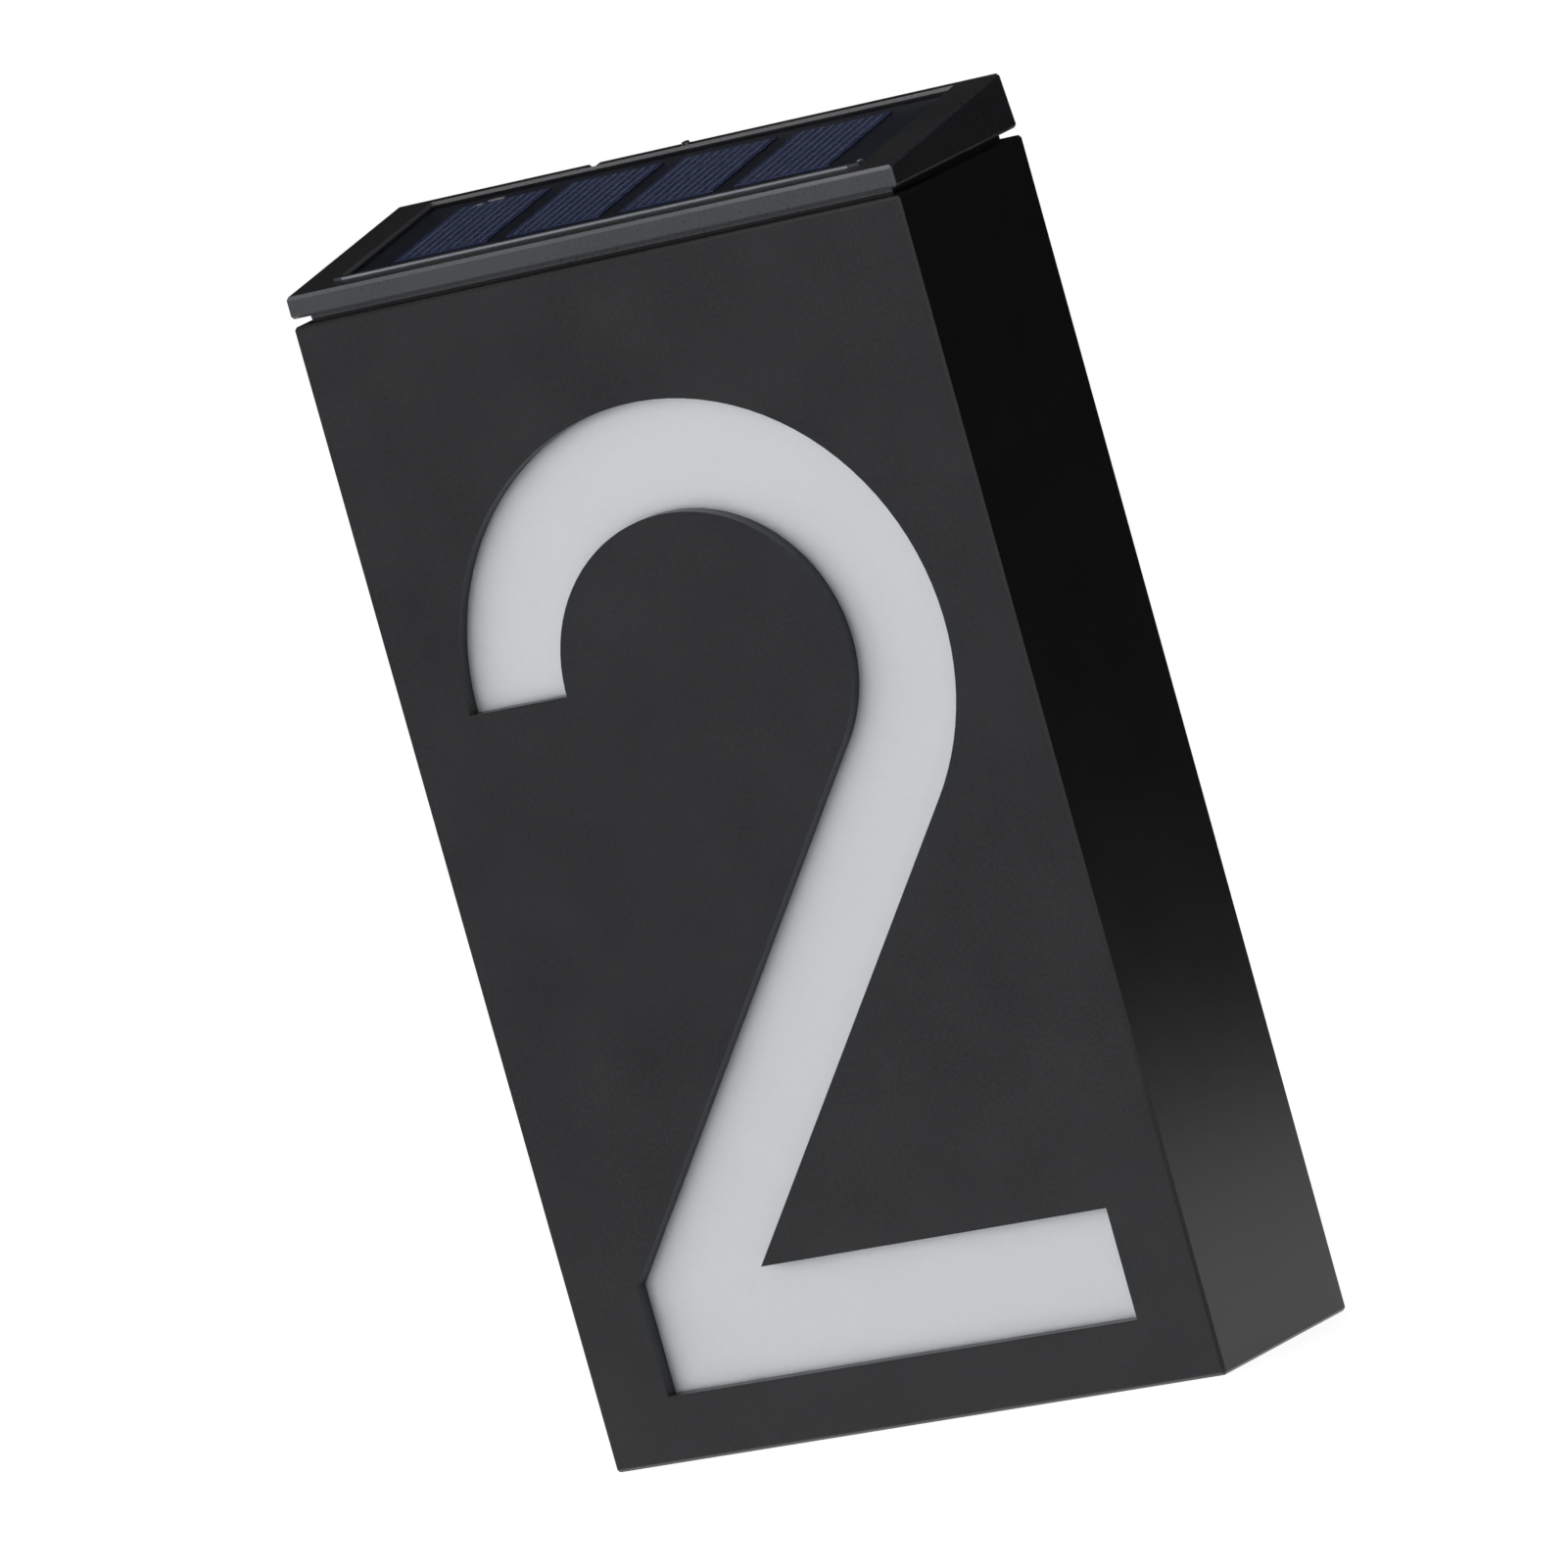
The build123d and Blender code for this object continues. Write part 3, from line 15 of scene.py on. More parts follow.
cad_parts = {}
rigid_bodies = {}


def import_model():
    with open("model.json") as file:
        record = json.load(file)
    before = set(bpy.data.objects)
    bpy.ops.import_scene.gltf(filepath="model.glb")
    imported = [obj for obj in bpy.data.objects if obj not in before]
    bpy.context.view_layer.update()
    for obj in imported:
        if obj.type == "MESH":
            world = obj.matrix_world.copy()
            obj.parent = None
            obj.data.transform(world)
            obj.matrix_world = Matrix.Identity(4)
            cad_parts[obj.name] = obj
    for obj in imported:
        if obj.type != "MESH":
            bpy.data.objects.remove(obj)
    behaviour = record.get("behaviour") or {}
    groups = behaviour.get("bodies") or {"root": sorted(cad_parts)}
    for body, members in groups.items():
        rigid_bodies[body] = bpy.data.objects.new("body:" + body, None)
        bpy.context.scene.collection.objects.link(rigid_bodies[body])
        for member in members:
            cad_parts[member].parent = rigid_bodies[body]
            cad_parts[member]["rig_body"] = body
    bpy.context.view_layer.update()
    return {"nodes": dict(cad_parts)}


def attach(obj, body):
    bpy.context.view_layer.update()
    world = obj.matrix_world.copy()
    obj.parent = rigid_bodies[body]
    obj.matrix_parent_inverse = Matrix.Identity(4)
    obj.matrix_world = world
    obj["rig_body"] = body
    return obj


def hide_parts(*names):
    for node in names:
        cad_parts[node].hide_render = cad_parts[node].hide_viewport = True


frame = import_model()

MM = 0.001
nodes = frame["nodes"]

# %% [markdown]
# ## The camera
# The picture was taken from the right of the light and a little above it, through a long lens, with the
# camera rolled so that the light leans. A camera is aimed by turning its -Z axis along the line of sight;
# the roll is then one more turn about that same axis. Measuring the spot in metres keeps the perspective
# right.

# %% Place the camera
CAMERA_SPOT = Vector((1.16294, -1.62608, 0.31739))
CAMERA_TARGET = Vector((-0.00377, 0.0, 0.08526))
CAMERA_ROLL = radians(-15.638)
CAMERA_LENS = 348.94

bpy.ops.object.camera_add(location=CAMERA_SPOT)
camera = bpy.context.object
camera.name = "photo_camera"
sight = (CAMERA_TARGET - CAMERA_SPOT).to_track_quat("-Z", "Y")
camera.rotation_mode = "QUATERNION"
camera.rotation_quaternion = sight @ Quaternion((0, 0, 1), CAMERA_ROLL)
camera.data.sensor_width = 36
camera.data.lens = CAMERA_LENS
camera.data.clip_start = 0.01
bpy.context.scene.camera = camera
print("camera", round((CAMERA_TARGET - CAMERA_SPOT).length, 2), "m from the light")

# %% [markdown]
# ## The studio
# A catalogue picture like this has a pure white ground and hardly a shadow, while the black plastic stays
# black. Two things make that possible. The first is that the white belongs to the ground itself and not to
# the lamps: the Light Path node shows the camera, and anything shiny, a white ground that adds no light to
# the object. The second is a black screen that keeps most of this white out of the plastic's reflections.

# %% A helper that wires nodes
def join(tree, source, target):
    """Wires one socket to another."""
    tree.links.new(source, target)


def seen_rays(tree):
    """Mask that is 1 for the camera and for what mirrors or glass show, and 0 for light on matt surfaces."""
    path = tree.nodes.new("ShaderNodeLightPath")
    mask = path.outputs["Is Camera Ray"]
    for ray in ("Is Glossy Ray", "Is Transmission Ray"):
        either = tree.nodes.new("ShaderNodeMath")
        either.operation = "MAXIMUM"
        join(tree, mask, either.inputs[0])
        join(tree, path.outputs[ray], either.inputs[1])
        mask = either.outputs[0]
    return mask


def between(tree, mask, low, high):
    """Value that runs from low to high with a mask."""
    spread = tree.nodes.new("ShaderNodeMapRange")
    spread.inputs["To Min"].default_value = low
    spread.inputs["To Max"].default_value = high
    join(tree, mask, spread.inputs["Value"])
    return spread.outputs["Result"]


# %% The world
AMBIENT = 0.12

world = bpy.data.worlds.new("white_studio")
world.use_nodes = True
bpy.context.scene.world = world
sky = world.node_tree.nodes["Background"]
sky.inputs["Color"].default_value = (1, 1, 1, 1)
strength = between(world.node_tree, seen_rays(world.node_tree), AMBIENT, 1.0)
join(world.node_tree, strength, sky.inputs["Strength"])
bpy.context.scene.view_settings.view_transform = "Standard"
print("world: white to the eye,", AMBIENT, "as light")

# %% [markdown]
# The floor shows the light's own shadow but casts none: the key lamp is so wide and low that part of it
# lies below the floor, and that part would otherwise be missing from the foot of the light alone.

# %% The floor
FLOOR_RADIUS = 0.5
FLOOR_DROP = 0.0001
FLOOR_PALE = (0.4, 0.4, 0.4, 1)
FLOOR_GLOW = 0.92

bpy.ops.object.select_all(action="DESELECT")
bpy.ops.mesh.primitive_circle_add(
    vertices=96, radius=FLOOR_RADIUS, fill_type="NGON", location=(0, 0, -FLOOR_DROP)
)
floor = bpy.context.object
floor.name = "studio_floor"
floor.visible_shadow = False
paper = bpy.data.materials.new("white_paper")
paper.use_nodes = True
sheet = paper.node_tree.nodes["Principled BSDF"]
sheet.inputs["Base Color"].default_value = FLOOR_PALE
sheet.inputs["Roughness"].default_value = 1
sheet.inputs["Specular IOR Level"].default_value = 0
sheet.inputs["Emission Color"].default_value = (1, 1, 1, 1)
glow = between(paper.node_tree, seen_rays(paper.node_tree), 0, FLOOR_GLOW)
join(paper.node_tree, glow, sheet.inputs["Emission Strength"])
floor.data.materials.append(paper)
print("floor", FLOOR_RADIUS * 2, "m across")

# %% [markdown]
# A broad soft key lamp stands low in front and to the left. The right side of the light gets none of it, as
# in the picture. A second lamp grazes the front from the left: it can't reach the plate close to the left
# rim of the cut, so the numeral darkens softly there. The lamps themselves aren't mirrored, or their wide
# discs would lie over the whole front as a pale sheen. A third one keeps the back readable when the light
# is turned round.

# %% Lamps
KEY_FROM = Vector((-0.3, -1.0, 0.09))
KEY_LEVEL = 2.05
SIDE_FROM = Vector((-1.0, -0.38, 0.1))
SIDE_LEVEL = 2.0
BACK_FROM = Vector((-0.45, 0.8, 0.12))
BACK_LEVEL = 2.0
LAMP_SPREAD = 50


def sun(name, toward, level):
    """Far soft lamp that shines from a direction and isn't mirrored."""
    bpy.ops.object.light_add(type="SUN")
    lamp = bpy.context.object
    lamp.name = name
    lamp.rotation_mode = "QUATERNION"
    lamp.rotation_quaternion = toward.to_track_quat("Z", "Y")
    lamp.data.energy = level
    lamp.data.angle = radians(LAMP_SPREAD)
    lamp.visible_glossy = False


sun("key_lamp", KEY_FROM, KEY_LEVEL)
sun("side_lamp", SIDE_FROM, SIDE_LEVEL)
sun("back_lamp", BACK_FROM, BACK_LEVEL)
print("lamps", KEY_LEVEL, SIDE_LEVEL, BACK_LEVEL)

# %% [markdown]
# Glossy plastic mirrors all that is near it, so the black screen stands close round the light, out of the
# picture. It is an open cylinder that reflections alone see. A few of its faces are deleted again: through
# that slit the light's front corner mirrors some white, or the corner would be a black line. A grey card
# lies on the floor in front, because the white floor would be mirrored as a bright band along the foot of
# the front.

# %% Dark cards that only mirrors see
RING_RADIUS = 0.238
RING_HEIGHT = 0.5
SLIT_FROM = radians(44)
SLIT_TO = radians(64)
FRONT_CARD_SPOT = (-0.15, -0.2659, 0.0004)
FRONT_CARD_SIZE = (0.9, 0.5)
FRONT_CARD_TONE = 0.3


def dark_card(name, tone):
    """Gives the new mesh a dark face that shows in reflections alone."""
    card = bpy.context.object
    card.name = name
    velvet = bpy.data.materials.new(name + "_velvet")
    velvet.use_nodes = True
    cloth = velvet.node_tree.nodes["Principled BSDF"]
    cloth.inputs["Base Color"].default_value = (0.004, 0.004, 0.004, 1)
    cloth.inputs["Emission Color"].default_value = (1, 1, 1, 1)
    cloth.inputs["Emission Strength"].default_value = tone
    cloth.inputs["Roughness"].default_value = 1
    cloth.inputs["Specular IOR Level"].default_value = 0
    card.data.materials.append(velvet)
    card.visible_camera = False
    card.visible_diffuse = False
    card.visible_shadow = False
    card.visible_transmission = False
    return card


def edit_faces(piece, test):
    """Opens the active piece in edit mode with only the faces selected that pass a test."""
    bpy.ops.object.mode_set(mode="EDIT")
    bpy.ops.mesh.select_all(action="DESELECT")
    bpy.ops.mesh.select_mode(type="FACE")
    bpy.ops.object.mode_set(mode="OBJECT")
    for face in piece.data.polygons:
        face.select = test(face)
    bpy.ops.object.mode_set(mode="EDIT")


bpy.ops.object.select_all(action="DESELECT")
bpy.ops.mesh.primitive_cylinder_add(
    vertices=96, radius=RING_RADIUS, depth=RING_HEIGHT, end_fill_type="NOTHING",
    location=(0, 0, RING_HEIGHT / 2),
)
ring = dark_card("card_ring", 0)
edit_faces(ring, lambda face: SLIT_FROM < atan2(face.center.x, -face.center.y) < SLIT_TO)
bpy.ops.mesh.delete(type="FACE")
bpy.ops.object.mode_set(mode="OBJECT")
bpy.ops.mesh.primitive_plane_add(size=1, location=FRONT_CARD_SPOT)
bpy.context.object.scale = (*FRONT_CARD_SIZE, 1)
dark_card("card_in_front", FRONT_CARD_TONE)
print("ring of", len(ring.data.polygons), "faces")

# %% [markdown]
# ## Effects that several finishes share
# Moulded plastic is cut from a spark-eroded mould, which leaves a grain too fine to count, and its tone
# drifts a little over the surface. Handling rubs the edges first. Each of these is built once as a node
# group that takes a place on the object and gives back a height, a tone or a mask, and every finish sets
# its own amounts.

# %% Make an empty effect group
def effect(name, inputs, outputs):
    """Node group with number inputs (and a Place vector) and number outputs."""
    group = bpy.data.node_groups.new(name, "ShaderNodeTree")
    group.interface.new_socket("Place", in_out="INPUT", socket_type="NodeSocketVector")
    for label, value in inputs.items():
        made = group.interface.new_socket(label, in_out="INPUT", socket_type="NodeSocketFloat")
        made.default_value = value
    for label in outputs:
        group.interface.new_socket(label, in_out="OUTPUT", socket_type="NodeSocketFloat")
    return group, group.nodes.new("NodeGroupInput"), group.nodes.new("NodeGroupOutput")


def maths(tree, operation, first, second):
    """Result of one sum; each side is a socket or a plain number."""
    node = tree.nodes.new("ShaderNodeMath")
    node.operation = operation
    for value, socket in ((first, node.inputs[0]), (second, node.inputs[1])):
        if isinstance(value, (int, float)):
            socket.default_value = value
        else:
            join(tree, value, socket)
    return node.outputs[0]


def noise(tree, place, size, detail):
    """Cloudy noise; size is the width of one cloud in metres, a socket."""
    node = tree.nodes.new("ShaderNodeTexNoise")
    node.inputs["Detail"].default_value = detail
    join(tree, place, node.inputs["Vector"])
    join(tree, maths(tree, "DIVIDE", 1.0, size), node.inputs["Scale"])
    return node.outputs["Fac"]


# %% Moulded grain
FINE_SHARE = 0.7
CONTRAST = 1.8

moulded_grain, given, back = effect("moulded_grain", {"Grain": 0.0004, "Drift": 0.012}, ["Height", "Tone"])
fine = noise(moulded_grain, given.outputs["Place"], given.outputs["Grain"], 3)
drift = noise(moulded_grain, given.outputs["Place"], given.outputs["Drift"], 2)
join(moulded_grain, fine, back.inputs["Height"])
fine_part = maths(moulded_grain, "MULTIPLY", fine, FINE_SHARE)
drift_part = maths(moulded_grain, "MULTIPLY", drift, 1 - FINE_SHARE)
mixed = maths(moulded_grain, "ADD", fine_part, drift_part)
steeper = maths(moulded_grain, "MULTIPLY", mixed, CONTRAST)
stretched = maths(moulded_grain, "ADD", steeper, (1 - CONTRAST) / 2)
clamp = moulded_grain.nodes.new("ShaderNodeClamp")
join(moulded_grain, stretched, clamp.inputs["Value"])
join(moulded_grain, clamp.outputs["Result"], back.inputs["Tone"])
print("effect:", moulded_grain.name)

# %% [markdown]
# The Bevel node looks at the surface a short way round each point. Where that rounded-off direction differs
# from the true one, there is an edge nearby, so the difference is a mask of the edges that needs no
# painting and works on any mesh. A cloudy noise breaks the mask up, because wear is never even.

# %% Rubbed edges
EDGE_STARTS = 0.995
EDGE_FULL = 0.9

rubbed_edges, given, back = effect("rubbed_edges", {"Width": 0.0005, "Patches": 0.004}, ["Mask"])
rounding = rubbed_edges.nodes.new("ShaderNodeBevel")
rounding.samples = 6
join(rubbed_edges, given.outputs["Width"], rounding.inputs["Radius"])
true_way = rubbed_edges.nodes.new("ShaderNodeNewGeometry")
alike = rubbed_edges.nodes.new("ShaderNodeVectorMath")
alike.operation = "DOT_PRODUCT"
join(rubbed_edges, rounding.outputs["Normal"], alike.inputs[0])
join(rubbed_edges, true_way.outputs["Normal"], alike.inputs[1])
edge = rubbed_edges.nodes.new("ShaderNodeMapRange")
edge.inputs["From Min"].default_value = EDGE_STARTS
edge.inputs["From Max"].default_value = EDGE_FULL
join(rubbed_edges, alike.outputs["Value"], edge.inputs["Value"])
patches = noise(rubbed_edges, given.outputs["Place"], given.outputs["Patches"], 3)
join(rubbed_edges, maths(rubbed_edges, "MULTIPLY", edge.outputs["Result"], patches), back.inputs["Mask"])
print("effect:", rubbed_edges.name)

# %% [markdown]
# ## A finish is a few layers
# Every finish below starts the same way: a Principled shader, the shared effects, a mix that turns the
# tone into two close colours, and a bump. So one function lays them, and each finish only says its colours
# and sizes.

# %% Lay a finish
FINISHES = {}


def place_effect(tree, group, place, **amounts):
    """Puts an effect group into a material with its own amounts."""
    node = tree.nodes.new("ShaderNodeGroup")
    node.node_tree = group
    join(tree, place, node.inputs["Place"])
    for label, value in amounts.items():
        node.inputs[label].default_value = value
    return node.outputs


def blend_colours(tree, mask, first, second):
    """Colour that runs from the first to the second with a mask; each is a socket or a colour."""
    mix = tree.nodes.new("ShaderNodeMix")
    mix.data_type = "RGBA"
    join(tree, mask, mix.inputs["Factor"])
    for value, socket in ((first, mix.inputs[6]), (second, mix.inputs[7])):
        if isinstance(value, tuple):
            socket.default_value = (*value, 1)
        else:
            join(tree, value, socket)
    return mix.outputs[2]


def finish(name, dark, pale, rough, grain, depth, drift=0.012, worn=None, worn_width=0.0005, **extras):
    """Principled finish: tone from dark to pale, roughness from low to high, a grain and rubbed edges."""
    made = bpy.data.materials.new(name + "_finish")
    made.use_nodes = True
    tree = made.node_tree
    shader = tree.nodes["Principled BSDF"]
    for label, value in extras.items():
        shader.inputs[label.replace("_", " ")].default_value = value
    place = tree.nodes.new("ShaderNodeTexCoord").outputs["Object"]
    texture = place_effect(tree, moulded_grain, place, Grain=grain, Drift=drift)
    colour = blend_colours(tree, texture["Tone"], dark, pale)
    if worn:
        mask = place_effect(tree, rubbed_edges, place, Width=worn_width)["Mask"]
        colour = blend_colours(tree, mask, colour, worn)
    join(tree, colour, shader.inputs["Base Color"])
    join(tree, between(tree, texture["Tone"], *rough), shader.inputs["Roughness"])
    bump = tree.nodes.new("ShaderNodeBump")
    bump.inputs["Distance"].default_value = depth
    bump.inputs["Strength"].default_value = 1
    join(tree, texture["Height"], bump.inputs["Height"])
    join(tree, bump.outputs["Normal"], shader.inputs["Normal"])
    FINISHES[name] = made


def dress(name, *pieces):
    """Gives CAD pieces a finish, in every slot that they have."""
    for piece in pieces:
        for slot in nodes[piece].material_slots:
            slot.material = FINISHES[name]


# %% [markdown]
# ## How a piece is started and ended
# An operator acts on all that is selected, so every piece starts by selecting itself alone. It ends with
# its place applied to its mesh, its finish, and the body that carries it: the light itself, the battery
# door or the switch's knob.

# %% Start and end a piece
def only(*pieces):
    """Selects these pieces alone, the last one active."""
    bpy.ops.object.select_all(action="DESELECT")
    for piece in pieces:
        piece.select_set(True)
    bpy.context.view_layer.objects.active = pieces[-1]


def shape_with(piece, kind, **settings):
    """Adds a modifier, sets it and applies it."""
    only(piece)
    modifier = piece.modifiers.new(kind.lower(), kind)
    for label, value in settings.items():
        setattr(modifier, label, value)
    bpy.ops.object.modifier_apply(modifier=modifier.name)


def settle(piece, name, body, surface, *stands_for):
    """Applies a piece's place, names and finishes it, and lets it ride on a body."""
    only(piece)
    bpy.ops.object.transform_apply(location=True, rotation=True, scale=True)
    piece.name = name
    piece.data.materials.clear()
    piece.data.materials.append(FINISHES[surface])
    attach(piece, body)
    if stands_for:
        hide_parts(*stands_for)


# %% A second finish on some faces
def refinish(piece, surface, test):
    """Gives one more finish to the faces that pass a test."""
    piece.data.materials.append(FINISHES[surface])
    found = [face for face in piece.data.polygons if test(face)]
    for face in found:
        face.material_index = len(piece.data.materials) - 1
    print(piece.name, surface, "on", len(found), "faces")


# %% [markdown]
# ## Rounding what the solid modeller left sharp
# A mould never has a knife edge, and the thin bright line that a rounded edge catches is what makes black
# plastic readable. The solid model's pieces can't be changed, so a copy is made of each one that shows. Its
# loose triangles are joined and its flat faces dissolved back to one face each. The Bevel modifier then
# rounds every corner sharper than 28 degrees, which leaves the facets of the curves alone, and Weighted
# Normal keeps the big faces flat in the light.

# %% A rounded copy of a solid piece
MERGE = 0.000002
FLAT_ANGLE = radians(1)
SHARP_ANGLE = radians(28)
SMOOTH_ANGLE = radians(40)


def rounded(name, width, surface, segments=2):
    """Copy of a piece with its edges rounded, which then stands for it."""
    source = nodes[name]
    body = source["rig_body"]
    only(source)
    bpy.ops.object.duplicate()
    piece = bpy.context.object
    for label in list(piece.keys()):
        del piece[label]
    piece.parent = None
    bpy.ops.object.mode_set(mode="EDIT")
    bpy.ops.mesh.select_all(action="SELECT")
    bpy.ops.mesh.remove_doubles(threshold=MERGE)
    bpy.ops.mesh.dissolve_limited(angle_limit=FLAT_ANGLE)
    bpy.ops.object.mode_set(mode="OBJECT")
    shape_with(piece, "BEVEL", width=width, segments=segments, limit_method="ANGLE", angle_limit=SHARP_ANGLE)
    bpy.ops.object.shade_smooth_by_angle(angle=SMOOTH_ANGLE)
    shape_with(piece, "WEIGHTED_NORMAL", keep_sharp=True)
    settle(piece, name + "_rounded", body, surface, name)
    print(piece.name, len(piece.data.polygons), "faces")
    return piece


# %% [markdown]
# ## Black moulded plastic
# The housing, the cover and the door are the same near-black plastic with a fine satin texture. The cap is
# a shade paler. Real black plastic is dark grey: at pure black the edges and the texture would be lost.

# %% Housing, cover, door and cap
HIGH_GLOSS = 0.9

finish("housing_black", (0.019, 0.0195, 0.021), (0.0363, 0.0371, 0.0389), (0.27, 0.37), 0.0005, 0.00001)
finish(
    "lid_black", (0.051, 0.053, 0.058), (0.069, 0.072, 0.079), (0.24, 0.34), 0.0005, 0.00001,
    Specular_IOR_Level=HIGH_GLOSS,
)
rounded("housing", 0.00012, "housing_black")
lid = rounded("solar_lid", 0.00012, "lid_black")
rounded("back_cover", 0.00015, "housing_black")
rounded("battery_door", 0.0002, "housing_black")

# %% [markdown]
# The plate behind the numeral is opal: light enters it, spreads sideways and comes out again a few
# millimetres off. Near the edge of the cut some of it is lost under the black wall, which is why the
# strokes darken softly towards their edges. Subsurface scattering does exactly that, with a reach of a few
# millimetres.

# %% Opal plate and the white tray behind it
OPAL_REACH = 0.007

finish(
    "opal_white", (0.75, 0.8, 0.86), (0.78, 0.83, 0.89), (0.35, 0.45), 0.0006, 0.000003, drift=0.03,
    Subsurface_Weight=1.0, Subsurface_Scale=OPAL_REACH, Subsurface_Radius=(1.0, 1.0, 1.0),
)
dress("opal_white", "diffuser")
finish("tray_white", (0.84, 0.84, 0.82), (0.9, 0.9, 0.88), (0.2, 0.32), 0.0008, 0.000004)
dress("tray_white", "light_tray")
finish(
    "chip_black", (0.014, 0.014, 0.015), (0.026, 0.026, 0.027), (0.4, 0.55), 0.0002, 0.000006,
    worn=(0.08, 0.08, 0.085), worn_width=0.0002,
)
print("plastics", sorted(FINISHES))

# %% [markdown]
# ## The solar panel
# Four dark blue cells lie on a black board under a clear sheet. Each cell carries fine lines of printed
# silver paste from front to back, 1.6 mm apart, that gather its current. They are thin enough to be drawn
# in a texture, but as raised strips they stay crisp from every side. One strip is made from a cube with its
# edges bevelled; the Array modifier lays out the others, and used once more it gives each cell its own set.

# %% Cells, board and sheet
finish("cell_navy", (0.049, 0.066, 0.155), (0.063, 0.083, 0.19), (0.22, 0.34), 0.0012, 0.000002, drift=0.006)
finish("panel_backing", (0.02, 0.024, 0.034), (0.026, 0.031, 0.043), (0.25, 0.4), 0.0006, 0.000004)
dress("panel_backing", "panel_board")
finish("clear_sheet", (0.01, 0.012, 0.016), (0.014, 0.016, 0.02), (0.05, 0.1), 0.004, 0.000002, Alpha=0.12)
finish("silver_paste", (0.205, 0.232, 0.32), (0.25, 0.28, 0.375), (0.45, 0.6), 0.0002, 0.000004)

# %% The panel's place on the cap
LID_TILT = atan(6 / 30.2)
LID_FRONT_EDGE = Vector((0, -0.0155, 0.1641))
UP_SLOPE = Vector((0, cos(LID_TILT), sin(LID_TILT)))
OFF_SLOPE = Vector((0, -sin(LID_TILT), cos(LID_TILT)))
CELLS_ALONG = 0.0173
CELLS_MIDDLE = -0.0011
CELL_DEPTH = 0.0007
CELL_COUNT = 4
CELL_STEP = 0.0188
CELL_SIZE = (0.0156, 0.0179, 0.0002)
CELL_ROUNDING = 0.00025
FIRST_CELL = CELLS_MIDDLE - (CELL_COUNT - 1) / 2 * CELL_STEP


def on_panel(x, along, below):
    """Point on the cap, measured up its slope from the front edge and down into it."""
    return LID_FRONT_EDGE + Vector((x, 0, 0)) + UP_SLOPE * along - OFF_SLOPE * below


print("panel middle", on_panel(0, CELLS_ALONG, CELL_DEPTH))

# %% Cut the cells
bpy.ops.object.select_all(action="DESELECT")
bpy.ops.mesh.primitive_cube_add(size=1)
wafer = bpy.context.object
wafer.scale = CELL_SIZE
bpy.ops.object.transform_apply(scale=True)
shape_with(wafer, "BEVEL", width=CELL_ROUNDING, segments=2, limit_method="ANGLE", affect="EDGES")
for number in range(CELL_COUNT):
    only(wafer)
    bpy.ops.object.duplicate()
    copy = bpy.context.object
    copy.rotation_euler = (LID_TILT, 0, 0)
    x = FIRST_CELL + number * CELL_STEP
    copy.location = on_panel(x, CELLS_ALONG, CELL_DEPTH + CELL_SIZE[2] / 2)
    settle(copy, f"solar_cell_{number + 1}", "light", "cell_navy", "solar_cells")
bpy.data.objects.remove(wafer)
print(CELL_COUNT, "cells", CELL_STEP / MM, "mm apart")

# %% Silver lines on the cells
LINE_PITCH = 0.00162
LINE_COUNT = 9
LINE_WIDTH = 0.0003
LINE_RISE = 0.000012
LINE_MARGIN = 0.0004


def repeat(piece, count, step):
    """Joins copies of a piece to it, each one step further along X."""
    shape_with(
        piece, "ARRAY", count=count, use_relative_offset=False, use_constant_offset=True,
        constant_offset_displace=(step, 0, 0),
    )


bpy.ops.object.select_all(action="DESELECT")
bpy.ops.mesh.primitive_cube_add(size=1)
lines = bpy.context.object
lines.scale = (LINE_WIDTH, CELL_SIZE[1] - 2 * LINE_MARGIN, LINE_RISE)
bpy.ops.object.transform_apply(scale=True)
shape_with(lines, "BEVEL", width=LINE_RISE / 3, segments=1)
repeat(lines, LINE_COUNT, LINE_PITCH)
repeat(lines, CELL_COUNT, CELL_STEP)
first_line = FIRST_CELL - (LINE_COUNT - 1) / 2 * LINE_PITCH
lines.rotation_euler = (LID_TILT, 0, 0)
lines.location = on_panel(first_line, CELLS_ALONG, CELL_DEPTH - LINE_RISE / 2)
settle(lines, "silver_lines", "light", "silver_paste")
print("silver lines", len(lines.data.polygons), "faces")

# %% [markdown]
# The clear sheet must not touch the cells: two faces in exactly the same place flicker, because a ray can
# hit either first. So its copy is lifted by three hundredths of a millimetre off the slope.

# %% Clear sheet over the cells
SHEET_LIFT = 0.00003

sheet_copy = rounded("panel_cover", 0.0001, "clear_sheet")
only(sheet_copy)
bpy.ops.object.mode_set(mode="EDIT")
bpy.ops.mesh.select_all(action="SELECT")
bpy.ops.transform.translate(value=OFF_SLOPE * SHEET_LIFT)
bpy.ops.object.mode_set(mode="OBJECT")

# %% [markdown]
# A bead of clear sealant runs along the front edge of the window, where rain would stand. It is half round
# and wet looking, and its pale grey colour is partly a painted highlight, so it draws the brightest line on
# the cap. It starts as a rod; the lower half is cut off with Bisect, and a drop where the nozzle was lifted
# is joined to its right end.

# %% Sealant along the window
BEAD_RADIUS = 0.00033
BEAD_ROUNDING = 0.6 * BEAD_RADIUS
BEAD_CORNER = radians(60)
BEAD_SMOOTH = radians(50)
BEAD_ALONG = 0.0032
BEAD_LENGTH = 0.0838
BEAD_MIDDLE = -0.0003
BEAD_UNDERSIDE = -0.00002
DROP_RADIUS = 0.0006
DROP_STRETCH = (0.8, 1.5, 0.7)
DROP_SPOT = (0.0421, 0.0051, 0.0003)
TAIL_SPOT = (0.0412, 0.0038, 0.0002)
